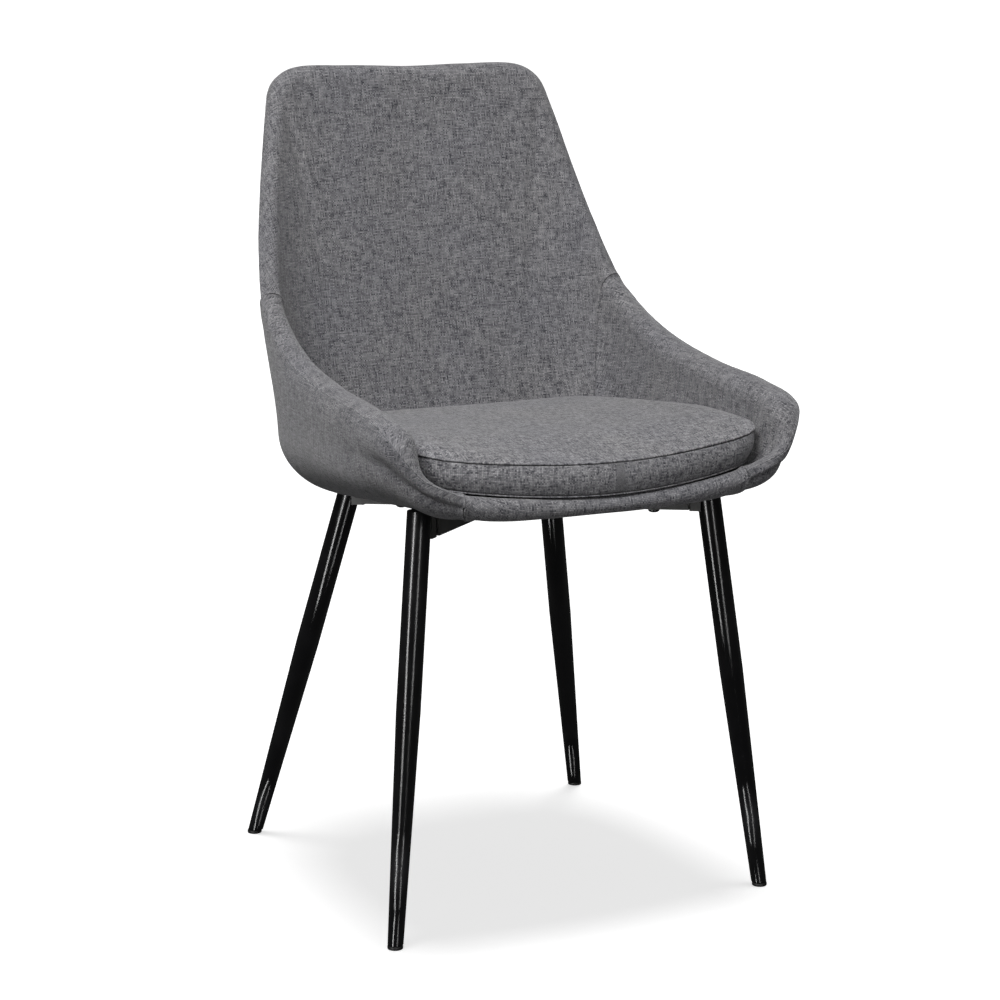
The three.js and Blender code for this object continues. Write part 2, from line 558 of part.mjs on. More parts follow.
/** A hollow bar from one distance to another along the line of a leg. */
function hollowBar(leg, x0, x1) {
  const bar = toSolid(towards(leg, along(x0, x1, BAR.width, BAR_BOTTOM, BAR_TOP)));
  const bore = toSolid(towards(leg, along(x0 - 1, x1 + 1, BAR.width - 2 * BAR.wall,
    BAR_BOTTOM + BAR.wall, BAR_TOP - BAR.wall)));
  return boltHoles.reduce((solid, drill) => solid.subtract(drill), bar.subtract(bore));
}
const [frontLeft, frontRight, rearLeft, rearRight] = LEGS;
const longBar = hollowBar(frontLeft, -barEnds.rear_right, barEnds.front_left);
inFrame('cross_bar_long', longBar, BLACK_STEEL);
const crossing = BAR.width / 2 + GAP + 1;
inFrame('cross_bar_front_half', hollowBar(frontRight, crossing, barEnds.front_right), BLACK_STEEL);
inFrame('cross_bar_rear_half', hollowBar(rearLeft, crossing, barEnds.rear_left), BLACK_STEEL);

// The shell's base takes the inserts, and the dust cloth lets the bolts through.
const drilled = (geometry, radius) => LEGS.reduce((solid, leg) => solid.subtract(
  toSolid(towards(leg, upright(SEAT_BOLT_REACH, radius, -20, insertTop + GAP)).applyMatrix4(frame.matrix)),
), toSolid(geometry));
shell.geometry = toGeometry(drilled(shellGeometry, INSERT.radius + GAP));
addPiece('dust_cloth', toGeometry(drilled(panCloth(faceOut), BOLT.radius + GAP)), BLACK_CLOTH);

// The origin moves to the floor below the middle of the finished chair.
chair.position.y = -MIDDLE_Y;

export default chair;
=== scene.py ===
"""Looks of an upholstered bucket dining chair on four tapered steel legs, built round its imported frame."""

import json
import logging
import math
from abc import ABC, abstractmethod
from collections.abc import Iterable
from dataclasses import dataclass, field
from enum import Enum
from itertools import pairwise

import bmesh
import bpy
from mathutils import Matrix, Vector, noise

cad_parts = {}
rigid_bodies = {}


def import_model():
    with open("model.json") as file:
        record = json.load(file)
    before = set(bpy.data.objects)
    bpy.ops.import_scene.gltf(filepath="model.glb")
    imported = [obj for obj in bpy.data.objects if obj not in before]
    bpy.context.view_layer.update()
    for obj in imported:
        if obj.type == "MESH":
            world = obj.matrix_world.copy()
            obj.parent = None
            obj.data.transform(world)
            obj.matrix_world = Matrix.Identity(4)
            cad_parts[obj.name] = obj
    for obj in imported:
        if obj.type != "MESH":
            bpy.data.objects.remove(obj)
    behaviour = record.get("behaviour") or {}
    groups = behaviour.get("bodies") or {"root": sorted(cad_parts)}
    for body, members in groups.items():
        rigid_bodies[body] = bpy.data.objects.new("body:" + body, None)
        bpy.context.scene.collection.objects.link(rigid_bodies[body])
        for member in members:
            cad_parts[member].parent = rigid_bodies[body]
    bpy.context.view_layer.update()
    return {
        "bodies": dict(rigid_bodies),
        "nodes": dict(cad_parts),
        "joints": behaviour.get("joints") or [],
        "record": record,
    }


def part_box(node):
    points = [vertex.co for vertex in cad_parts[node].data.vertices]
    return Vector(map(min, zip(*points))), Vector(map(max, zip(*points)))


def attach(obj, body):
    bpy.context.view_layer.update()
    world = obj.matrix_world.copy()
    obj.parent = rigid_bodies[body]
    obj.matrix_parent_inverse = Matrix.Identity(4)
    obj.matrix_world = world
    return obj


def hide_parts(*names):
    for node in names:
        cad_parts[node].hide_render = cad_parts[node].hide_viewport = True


MM = 0.001
UP = Vector((0.0, 0.0, 1.0))
MIDDLE_Y = 6.5          # the feet's middle stands this far in front of the origin, in millimetres
SEAT_FALL = 0.061       # the seat and its frame drop this much per millimetre towards the back
UNDERSIDE_Z = 424.5     # the upholstered underside at the middle of the feet, in millimetres
PAN_DEPTH = 15.0        # from the underside up to the deck that the cushion lies on, in millimetres

Socket = bpy.types.NodeSocket
Colour = tuple[float, float, float, float]
Places = dict[bmesh.types.BMVert, tuple[int, int]]

log = logging.getLogger("dining_chair")


class Side(Enum):
    """The four corners of the chair, as seen from its front."""

    FRONT_LEFT = "front_left"
    FRONT_RIGHT = "front_right"
    REAR_LEFT = "rear_left"
    REAR_RIGHT = "rear_right"

    @property
    def turn(self) -> int:
        """-1 on the left half of the chair and 1 on the right half."""
        return -1 if self.value.endswith("left") else 1

    @property
    def is_front(self) -> bool:
        """Whether this corner is one of the front two."""
        return self.value.startswith("front")


def to_chair(point: Vector) -> Vector:
    """Turn a point in millimetres from the middle of the feet into metres from the chair's origin."""
    return Vector((point.x, point.y + MIDDLE_Y, point.z)) * MM


def underside_z(y: float) -> float:
    """The height of the sloping underside, in millimetres, at a distance from the middle of the feet."""
    return UNDERSIDE_Z - SEAT_FALL * y


def finish_piece(
    mesh: bmesh.types.BMesh, name: str, material: bpy.types.Material, smooth: bool = True
) -> bpy.types.Object:
    """Turn a bmesh into a piece of the chair that rides on its one body.

    Args:
        mesh: The shape, in metres in the chair's own frame; it is freed.
        name: The piece's name.
        material: The finish it is dressed in.
        smooth: Whether its faces are shaded smooth.

    Returns:
        The new object, at the origin, unturned and unscaled.
    """
    data = bpy.data.meshes.new(name)
    for face in mesh.faces:
        face.smooth = smooth
    mesh.to_mesh(data)
    mesh.free()
    data.materials.append(material)
    piece = bpy.data.objects.new(name, data)
    bpy.context.scene.collection.objects.link(piece)
    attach(piece, "root")
    log.info("made %s: %d faces", name, len(data.polygons))
    return piece


def length_of(line: Iterable[Vector]) -> float:
    """The length of a line through points."""
    return sum((b - a).length for a, b in pairwise(line))


def bevel_rims(mesh: bmesh.types.BMesh, width: float, segments: int) -> None:
    """Round off the edges where a turned body's side meets its ends."""
    rims = [e for e in mesh.edges if e.is_manifold and e.calc_face_angle(0.0) > 1.0]
    bmesh.ops.bevel(
        mesh, geom=rims, offset=width, affect="EDGES", segments=segments, profile=0.5, material=-1
    )


def give_thickness(piece: bpy.types.Object, thickness: float, levels: int = 1) -> None:
    """Give an open sheet of cloth its thickness, inwards, and round it off.

    Args:
        piece: The sheet.
        thickness: The cloth's thickness in metres.
        levels: How many times the sheet is subdivided.
    """
    wall = piece.modifiers.new("thickness", "SOLIDIFY")
    wall.thickness = thickness
    wall.offset = -1.0
    subdivide(piece, levels)


def subdivide(piece: bpy.types.Object, levels: int) -> None:
    """Round a piece off with a subdivision surface of the same level in view and render."""
    rounding = piece.modifiers.new("rounding", "SUBSURF")
    rounding.levels = levels
    rounding.render_levels = levels


# ---- Finishes ------------------------------------------------------------------------------------


class NodeSheet:
    """The node tree of one material, with short ways to add and join nodes."""

    def __init__(self, name: str) -> None:
        """Start an empty material with a Principled shader in it."""
        self.material = bpy.data.materials.new(name)
        self.material.use_nodes = True
        self.tree = self.material.node_tree
        self.shader = next(n for n in self.tree.nodes if n.type == "BSDF_PRINCIPLED")

    def node(self, kind: str, **settings: object) -> bpy.types.Node:
        """Add a node of a kind, such as "TexNoise", and set its properties."""
        made = self.tree.nodes.new("ShaderNode" + kind)
        for key, value in settings.items():
            setattr(made, key, value)
        return made

    def join(self, source: Socket, target: Socket) -> None:
        """Link an output to an input."""
        self.tree.links.new(source, target)

    def coordinates(self, output: str) -> Socket:
        """The named output of a Texture Coordinate node, "Object" or "UV"."""
        return self.node("TexCoord").outputs[output]

    def stretched(self, source: Socket, scale: tuple[float, float, float]) -> Socket:
        """Coordinates multiplied by a scale along each axis."""
        mapping = self.node("Mapping")
        mapping.inputs["Scale"].default_value = scale
        self.join(source, mapping.inputs["Vector"])
        return mapping.outputs["Vector"]

    def noise(
        self, source: Socket, scale: float, detail: float = 2.0, roughness: float = 0.5
    ) -> Socket:
        """A noise value over some coordinates."""
        made = self.node("TexNoise")
        made.inputs["Scale"].default_value = scale
        made.inputs["Detail"].default_value = detail
        made.inputs["Roughness"].default_value = roughness
        self.join(source, made.inputs["Vector"])
        return made.outputs[0]

    def maths(
        self, operation: str, first: Socket | float, second: Socket | float = 0.0
    ) -> Socket:
        """One arithmetic step on two sockets or numbers."""
        made = self.node("Math", operation=operation)
        for socket, value in zip(made.inputs, (first, second)):
            if isinstance(value, Socket):
                self.join(value, socket)
            else:
                socket.default_value = value
        return made.outputs[0]

    def blend(
        self,
        share: Socket | float,
        first: Socket | Colour,
        second: Socket | Colour,
        mode: str = "MIX",
    ) -> Socket:
        """A colour between two colours."""
        made = self.node("Mix", data_type="RGBA", blend_type=mode)
        sockets = [made.inputs["Factor"], made.inputs[6], made.inputs[7]]
        for socket, value in zip(sockets, (share, first, second)):
            if isinstance(value, Socket):
                self.join(value, socket)
            else:
                socket.default_value = value
        return made.outputs[2]

    def spread(
        self, value: Socket, low: float, high: float, bottom: float, top: float
    ) -> Socket:
        """A value mapped from one range to another, and held there."""
        made = self.node("MapRange")
        self.join(value, made.inputs["Value"])
        for key, number in (("From Min", low), ("From Max", high), ("To Min", bottom), ("To Max", top)):
            made.inputs[key].default_value = number
        return made.outputs["Result"]

    def bump(self, height: Socket, distance: float, strength: float = 1.0) -> None:
        """Raise the shader's surface by a height, in metres."""
        made = self.node("Bump")
        made.inputs["Distance"].default_value = distance
        made.inputs["Strength"].default_value = strength
        self.join(height, made.inputs["Height"])
        self.join(made.outputs["Normal"], self.shader.inputs["Normal"])

    def feed(self, **sources: Socket) -> None:
        """Join sources to the shader's own sockets, with underscores for the blanks in their names."""
        for key, source in sources.items():
            self.join(source, self.shader.inputs[key.replace("_", " ")])

    def set(self, **values: object) -> None:
        """Set the shader's own sockets, with underscores for the blanks in their names."""
        for key, value in values.items():
            self.shader.inputs[key.replace("_", " ")].default_value = value


class Finish(ABC):
    """A finish that can be made into a material once and shared."""

    @abstractmethod
    def build(self) -> bpy.types.Material:
        """Make the material."""


@dataclass(frozen=True)
class MelangeWeave(Finish):
    """A slubby plain weave of mixed grey yarns; its pattern follows the cloth's own map, in metres."""

    name: str
    dark: Colour = (0.040, 0.040, 0.047, 1.0)
    light: Colour = (0.245, 0.243, 0.252, 1.0)
    pitch: float = 0.0016
    slub_length: float = 0.012
    relief: float = 0.0004
    mottle: float = 0.10        # how strongly patches of a few yarns differ
    wander: float = 0.0016      # how far the yarns stray from a straight line
    flecks: float = 0.35        # how strongly single fibres differ

    def yarn(self, sheet: NodeSheet, along: Socket, across: Socket, seed: float) -> Socket:
        """The shade of one set of yarns, from 0 to 1.

        Args:
            sheet: The material.
            along: The distance along the yarns.
            across: The distance across them.
            seed: A number that sets this set of yarns apart from the other.

        Returns:
            A value that changes from yarn to yarn and slowly along each.
        """
        number = sheet.maths("FLOOR", sheet.maths("DIVIDE", across, self.pitch))
        place = sheet.node("CombineXYZ")
        sheet.join(sheet.maths("DIVIDE", along, self.slub_length), place.inputs[0])
        sheet.join(sheet.maths("MULTIPLY", number, 7.31), place.inputs[1])
        place.inputs[2].default_value = seed
        return sheet.noise(place.outputs[0], 1.0, 2.0, 0.6)

    def build(self) -> bpy.types.Material:
        """Make the material."""
        sheet = NodeSheet(self.name)
        flat = sheet.coordinates("UV")
        sway = sheet.noise(flat, 60.0, 1.0)
        parts = sheet.node("SeparateXYZ")
        sheet.join(flat, parts.inputs[0])
        wander = sheet.maths("MULTIPLY", sheet.maths("SUBTRACT", sway, 0.5), self.wander)
        u = sheet.maths("ADD", parts.outputs[0], wander)
        v = sheet.maths("ADD", parts.outputs[1], wander)
        warp = self.yarn(sheet, v, u, 3.0)
        weft = self.yarn(sheet, u, v, 11.0)
        turn = math.pi / self.pitch
        wave_u = sheet.maths("SINE", sheet.maths("MULTIPLY", u, turn))
        wave_v = sheet.maths("SINE", sheet.maths("MULTIPLY", v, turn))
        crossing = sheet.maths("MULTIPLY", wave_u, wave_v)
        warp_on_top = sheet.spread(crossing, -0.25, 0.25, 0.0, 1.0)
        both = sheet.node("Mix", data_type="FLOAT")
        sheet.join(warp_on_top, both.inputs["Factor"])
        sheet.join(weft, both.inputs[2])
        sheet.join(warp, both.inputs[3])
        shade = sheet.spread(both.outputs[0], 0.33, 0.68, 0.0, 1.0)
        fleck = sheet.noise(sheet.stretched(flat, (900.0, 900.0, 1.0)), 1.0, 1.0)
        speck = sheet.maths("MULTIPLY", sheet.maths("SUBTRACT", fleck, 0.5), self.flecks)
        shade = sheet.maths("ADD", shade, speck)
        cloud = sheet.maths("SUBTRACT", sheet.noise(flat, 260.0, 2.0, 0.6), 0.5)
        shade = sheet.maths("ADD", shade, sheet.maths("MULTIPLY", cloud, self.mottle))
        cloth = sheet.blend(shade, self.dark, self.light)
        # Darker, down to 0.72, in the valleys between the yarns: painted shade in the weave's recesses, on
        # top of the bump.
        ribs = sheet.maths("MULTIPLY", sheet.maths("ABSOLUTE", wave_u), sheet.maths("ABSOLUTE", wave_v))
        painted_valley_shade = sheet.spread(ribs, 0.0, 0.5, 0.72, 1.0)
        grey = sheet.node("CombineColor")
        for socket in grey.inputs:
            if socket.name in ("Red", "Green", "Blue"):
                sheet.join(painted_valley_shade, socket)
        cloth = sheet.blend(1.0, cloth, grey.outputs[0], "MULTIPLY")
        patch = sheet.spread(sheet.noise(flat, 9.0, 3.0, 0.55), 0.3, 0.7, 0.0, 1.0)
        warm = sheet.blend(patch, (0.94, 0.94, 0.96, 1.0), (1.06, 1.05, 1.03, 1.0))
        cloth = sheet.blend(1.0, cloth, warm, "MULTIPLY")
        sheet.feed(Base_Color=cloth, Roughness=sheet.spread(fleck, 0.3, 0.7, 0.86, 0.98))
        height = sheet.maths("ADD", sheet.maths("MULTIPLY", ribs, 0.7), sheet.maths("MULTIPLY", shade, 0.35))
        sheet.bump(sheet.maths("ADD", height, sheet.maths("MULTIPLY", fleck, 0.25)), self.relief, 0.9)
        sheet.set(Sheen_Weight=0.22, Sheen_Roughness=0.45, Specular_IOR_Level=0.12)
        return sheet.material


@dataclass(frozen=True)
class SewingThread(Finish):
    """The thread of the seams, a little paler than the cloth, with its twist."""

    name: str = "sewing_thread"
    colour: Colour = (0.10, 0.10, 0.105, 1.0)

    def build(self) -> bpy.types.Material:
        """Make the material."""
        sheet = NodeSheet(self.name)
        place = sheet.coordinates("Object")
        strand = sheet.noise(place, 2600.0, 2.0)
        paler = tuple(min(1.0, c * 1.8) for c in self.colour[:3]) + (1.0,)
        sheet.feed(Base_Color=sheet.blend(strand, self.colour, paler))
        sheet.bump(strand, 0.0001)
        sheet.set(Roughness=0.75, Sheen_Weight=0.2)
        return sheet.material


@dataclass(frozen=True)
class BondedCloth(Finish):
    """Black spun-bonded cloth, with its pressed dots and matted fibres."""

    name: str = "bonded_cloth"

    def build(self) -> bpy.types.Material:
        """Make the material."""
        sheet = NodeSheet(self.name)
        place = sheet.coordinates("Object")
        fibres = sheet.noise(sheet.stretched(place, (1.0, 1.0, 0.2)), 700.0, 4.0, 0.7)
        dots = sheet.node("TexVoronoi", distance="EUCLIDEAN")
        dots.inputs["Scale"].default_value = 420.0
        dots.inputs["Randomness"].default_value = 0.15
        sheet.join(place, dots.inputs["Vector"])
        pressed = sheet.spread(dots.outputs["Distance"], 0.12, 0.3, 0.0, 1.0)
        colour = sheet.blend(fibres, (0.008, 0.008, 0.009, 1.0), (0.035, 0.035, 0.037, 1.0))
        sheet.feed(Base_Color=colour, Roughness=sheet.spread(fibres, 0.3, 0.7, 0.8, 0.95))
        sheet.bump(sheet.maths("ADD", pressed, fibres), 0.0002)
        sheet.set(Sheen_Weight=0.1)
        return sheet.material


@dataclass(frozen=True)
class PowderCoat(Finish):
    """Satin black powder coat on steel: a fine orange peel, with thin dust and rubbed patches."""

    name: str = "powder_coat"
    colour: Colour = (0.0045, 0.0045, 0.005, 1.0)
    gloss: tuple[float, float] = (0.19, 0.24)

    def build(self) -> bpy.types.Material:
        """Make the material."""
        sheet = NodeSheet(self.name)
        place = sheet.coordinates("Object")
        peel = sheet.noise(place, 900.0, 2.0)
        patch = sheet.noise(place, 22.0, 3.0, 0.6)
        dusty = tuple(c * 1.9 + 0.002 for c in self.colour[:3]) + (1.0,)
        colour = sheet.blend(sheet.spread(patch, 0.45, 0.8, 0.0, 1.0), self.colour, dusty)
        sheet.feed(Base_Color=colour, Roughness=sheet.spread(patch, 0.3, 0.7, *self.gloss))
        sheet.bump(peel, 0.00002, 0.06)
        return sheet.material


@dataclass(frozen=True)
class ZincPlate(Finish):
    """Bright zinc plate with its cloudy spangle and fine scratches."""

    name: str = "zinc_plate"

    def build(self) -> bpy.types.Material:
        """Make the material."""
        sheet = NodeSheet(self.name)
        place = sheet.coordinates("Object")
        cloud = sheet.noise(place, 160.0, 4.0, 0.6)
        scratch = sheet.noise(sheet.stretched(place, (1.0, 30.0, 1.0)), 90.0, 3.0)
        colour = sheet.blend(cloud, (0.30, 0.31, 0.33, 1.0), (0.55, 0.56, 0.58, 1.0))
        sheet.feed(Base_Color=colour, Roughness=sheet.spread(scratch, 0.3, 0.7, 0.25, 0.5))
        sheet.bump(scratch, 0.00003)
        sheet.set(Metallic=1.0)
        return sheet.material


@dataclass(frozen=True)
class MouldedPlastic(Finish):
    """Moulded plastic with a fine spark-eroded grain."""

    name: str = "moulded_plastic"
    colour: Colour = (0.012, 0.012, 0.013, 1.0)

    def build(self) -> bpy.types.Material:
        """Make the material."""
        sheet = NodeSheet(self.name)
        place = sheet.coordinates("Object")
        grain = sheet.noise(place, 1500.0, 3.0, 0.6)
        scuff = sheet.noise(place, 45.0, 4.0, 0.65)
        scuffed = tuple(c * 2.5 + 0.01 for c in self.colour[:3]) + (1.0,)
        colour = sheet.blend(sheet.spread(scuff, 0.55, 0.8, 0.0, 0.7), self.colour, scuffed)
        sheet.feed(Base_Color=colour, Roughness=sheet.spread(scuff, 0.3, 0.7, 0.42, 0.6))
        sheet.bump(grain, 0.00008, 0.6)
        return sheet.material


class Wardrobe:
    """Every finish of the chair, made once."""

    def __init__(self) -> None:
        """Make the materials."""
        self.cover = MelangeWeave("woven_cover").build()
        self.seat_cover = MelangeWeave(
            "woven_seat_cover", dark=(0.048, 0.048, 0.055, 1.0), light=(0.27, 0.268, 0.277, 1.0), mottle=1.5
        ).build()
        self.thread = SewingThread().build()
        self.cloth = BondedCloth().build()
        self.steel = PowderCoat().build()
        # The frame's bars and plates get a coat paler than the legs' black, with a rougher gloss: painted
        # reflection of the pale floor on their faces.
        self.frame_coat_painted_reflection = PowderCoat("frame_powder_coat_painted_reflection", (0.05, 0.05, 0.047, 1.0), (0.42, 0.55)).build()
        self.zinc = ZincPlate().build()
        self.plastic = MouldedPlastic().build()
        self.glide = MouldedPlastic("glide_plastic", (0.008, 0.008, 0.008, 1.0)).build()

    def dress_frame(self, nodes: dict[str, bpy.types.Object]) -> None:
        """Give each frame node that stays its finish, by the part it is."""
        finishes = {
            "cloth": self.cloth, "washer": self.zinc, "tongue": self.zinc, "insert": self.zinc,
            "shell": self.plastic, "glide": self.glide, "cover": self.cover, "band": self.cover,
            "cushion": self.cover, "padding": self.cloth,
        }
        for name, node in nodes.items():
            # Every other frame node takes the frame coat, paler than black by its painted reflection.
            finish = next((made for word, made in finishes.items() if word in name), self.frame_coat_painted_reflection)
            for slot in node.material_slots:
                slot.material = finish


# ---- Bucket --------------------------------------------------------------------------------------


class ClosedCurve:
    """A closed centripetal Catmull-Rom curve; places on it are counted in its points."""

    def __init__(self, points: Iterable[Vector]) -> None:
        """Keep the points."""
        self.points = [Vector(p) for p in points]

    def at(self, place: float) -> Vector:
        """The point of the curve at a place.

        Args:
            place: The place, counted in points; it may run past either end.

        Returns:
            The point there.
        """
        first = math.floor(place)
        share = place - first
        a, b, c, d = (self.points[(first + k) % len(self.points)] for k in (-1, 0, 1, 2))
        ab, bc, cd = (max((q - p).length, 1e-6) ** 0.5 for p, q in ((a, b), (b, c), (c, d)))
        leave = ((b - a) / ab - (c - a) / (ab + bc) + (c - b) / bc) * bc
        arrive = ((c - b) / bc - (d - b) / (bc + cd) + (d - c) / cd) * bc
        cubic = 2 * (b - c) + leave + arrive
        square = 3 * (c - b) - 2 * leave - arrive
        return b + leave * share + square * share ** 2 + cubic * share ** 3

    def along(self, place: float) -> Vector:
        """The direction of the curve at a place."""
        return (self.at(place + 0.002) - self.at(place - 0.002)).normalized()


def sweep(start: Vector, leaving: Vector, end: Vector, entering: Vector, steps: int) -> list[Vector]:
    """Points of a cubic curve between two points.

    Args:
        start: The first point.
        leaving: The handle at the first point.
        end: The last point.
        entering: The handle at the last point.
        steps: How many stretches the curve is cut into.

    Returns:
        The points, both ends included.
    """
    made = []
    for k in range(steps + 1):
        t = k / steps
        s = 1 - t
        made.append(start * s ** 3 + (start + leaving) * 3 * s * s * t
                    + (end + entering) * 3 * s * t * t + end * t ** 3)
    return made


@dataclass(frozen=True)
class Rib:
    """One section of the bucket, in millimetres from the middle of the feet.

    crest is the top of the rolled edge, belly the lowest point of the outer wall before it turns under, roll
    the radius of the rolled edge, tuck and deck how far the underside and the deck stop short of the belly,
    and dip the slope at which the underside leaves the pan.
    """

    crest: tuple[float, float, float]
    belly: tuple[float, float, float]
    roll: float
    tuck: float
    deck: float
    dip: float


RIBS = [
    Rib((0, -258, 454.5), (0, -266, 446), 9, 18, 34, -0.3),
    Rib((100, -253, 458.5), (100, -261.5, 448.5), 9, 20, 34, -0.2),
    Rib((160, -246, 468), (161, -253, 457), 10, 42, 42, 0.15),
    Rib((200, -252, 488), (199, -249, 473), 10, 62, 48, 0.3),
    Rib((218.5, -236, 529), (224, -207, 494.5), 16, 85, 60, 0.42),
    Rib((219, -170, 545), (233.5, -150, 492.5), 17.5, 87, 62, 0.28),
    Rib((218.5, -75, 553.5), (234, -72, 488.5), 17.5, 81, 60, 0.18),
    Rib((216.5, 20, 571.5), (228.5, 16, 485), 16.5, 70, 54, 0.05),
    Rib((213, 81, 597), (217, 80, 483), 13.5, 65, 52, 0),
    Rib((209.5, 120, 626), (199, 118, 481), 12, 61, 50, 0),
    Rib((200, 155, 683), (177, 141, 478), 12, 57, 50, 0),
    Rib((186.5, 184, 749), (154, 154, 476), 13, 54, 52, 0),
    Rib((172.5, 207, 811), (128.5, 161, 474), 13, 52, 52, 0),
    Rib((161.5, 220, 844), (106.5, 164, 472), 13, 48, 51, 0),
    Rib((140, 229.5, 858.5), (86, 166, 470), 13, 46, 50, 0),
    Rib((70, 236.5, 860.5), (42, 168, 469), 14, 44, 48, 0),
    Rib((0, 239.5, 858.5), (0, 169, 469), 14, 44, 47, 0),
]


class BucketForm:
    """The padded bucket as two families of lines, inside and outside, that meet at the seam of its rim."""

    SEAT_CENTRE = Vector((0.0, -50.0, 0.0))
    SEAM_ANGLE = 0.72       # how far up the rolled edge the seam lies, from its outer side, in radians
    SEAM_LAP = 0.4          # how far each cover runs on past the middle of a seam
    FLAP = 12.0             # how far the outer cover runs in over the pan, below the dust cloth
    ROLL_BASE = 0.2         # the rolled edge leans away from a point this far in from the belly
    FULL_WALL = 60.0        # walls lower than this stand upright, as on the lip
    SQUARENESS = 0.6        # how far the rolled edge's section stands square to the rim
    LINE_STEPS = 24         # points on each stretch of a line before it is spaced out evenly

    def __init__(self, ribs: list[Rib]) -> None:
        """Lay the closed curves through the ribs and their mirror images."""
        self.count = 2 * (len(ribs) - 1)
        whole = [*ribs, *ribs[-2:0:-1]]
        turns = [1] * len(ribs) + [-1] * (len(ribs) - 2)
        self.crest = ClosedCurve(Vector((r.crest[0] * t, *r.crest[1:])) for r, t in zip(whole, turns))
        self.belly = ClosedCurve(Vector((r.belly[0] * t, *r.belly[1:])) for r, t in zip(whole, turns))
        self.widths = ClosedCurve(Vector((r.roll, r.tuck, r.deck)) for r in whole)
        self.dips = ClosedCurve(Vector((r.dip, *r.belly[1:])) for r in whole)

    def lines(self, place: float) -> tuple[list[Vector], list[Vector]]:
        """The two lines of the bucket at one place on its rim.

        Args:
            place: The place, counted in ribs from the middle of the front lip.

        Returns:
            The inner line, from the deck up to the rim's seam, and the outer one, from the underside to it.
        """
        crest, belly = self.crest.at(place), self.belly.at(place)
        roll, tuck, deck_in = self.widths.at(place)
        out = (belly - self.SEAT_CENTRE) * Vector((1, 1, 0))
        out.normalize()
        tuck_point = belly - out * tuck
        tuck_point.z = underside_z(tuck_point.y)
        deck = belly - out * deck_in
        deck.z = underside_z(deck.y) + PAN_DEPTH
        along = self.crest.along(place)
        over = crest - belly.lerp(deck, self.ROLL_BASE)
        lean = min(1.0, over.z / self.FULL_WALL)
        over = Vector((over.x * lean, over.y * lean, over.z))
        over = (over - along * (self.SQUARENESS * lean * over.dot(along))).normalized()
        outwards = along.cross(over)
        centre = crest - over * roll

        def rolled(start: float, end: float) -> list[Vector]:
            """Points of the rolled edge between two angles."""
            angles = [start + (end - start) * k / self.LINE_STEPS for k in range(self.LINE_STEPS + 1)]
            return [centre + over * roll * math.sin(a) + outwards * roll * math.cos(a) for a in angles]

        outer_roll = rolled(0.0, self.SEAM_ANGLE + self.SEAM_LAP / roll)
        buried = min(max((deck.z + 2 - centre.z) / roll, 0.0), 0.9)
        inner_roll = rolled(math.pi - math.asin(buried), self.SEAM_ANGLE - self.SEAM_LAP / roll)
        reach = (outer_roll[0] - belly).length * 0.4
        inner_reach = (inner_roll[0] - deck).length / 3
        turn = (belly - tuck_point).length * 0.42
        leaving = Vector((out.x, out.y, self.dips.at(place).x))
        under = sweep(tuck_point, leaving * turn, belly, -UP * turn * 0.8, self.LINE_STEPS)
        rising = UP.lerp((outer_roll[0] - belly).normalized(), 0.5)
        wall = sweep(belly, rising * reach, outer_roll[0], -over * min(reach, 30.0), self.LINE_STEPS)
        inner = sweep(deck, out * min(inner_reach, 22.0), inner_roll[0],
                      -over * min(inner_reach, 30.0) * lean, 2 * self.LINE_STEPS)
        flap = tuck_point - out * self.FLAP + UP * 1.5
        return inner + inner_roll[1:], [flap] + under + wall[1:] + outer_roll[1:]


def spaced(line: list[Vector], shares: list[float]) -> list[Vector]:
    """Points at given shares of a line's length.

    Args:
        line: The line's points.
        shares: The shares, from 0 to 1, in rising order.

    Returns:
        One point for each share.
    """
    reached = [0.0]
    for a, b in pairwise(line):
        reached.append(reached[-1] + (b - a).length)
    made, k = [], 0
    for share in shares:
        wanted = share * reached[-1]
        while k < len(line) - 2 and reached[k + 1] < wanted:
            k += 1
        step = reached[k + 1] - reached[k]
        made.append(line[k].lerp(line[k + 1], (wanted - reached[k]) / step if step else 0.0))
    return made


def crowded(count: int, edge: float, both: bool = True) -> list[float]:
    """Shares from 0 to 1 in even steps, with three close ones at the ends, for the turn into a seam.

    Args:
        count: How many even steps.
        edge: The width of the turn, as a share.
        both: Whether both ends have one, or only the last.

    Returns:
        The shares, in rising order.
    """
    turn = [0.0, edge * 0.35, edge * 0.7]
    start = turn if both else [0.0]
    first = edge if both else 1 / count
    even = [first + (1 - edge - first) * k / count for k in range(count + 1)]
    return [*start, *even, *(1 - t for t in reversed(turn))]


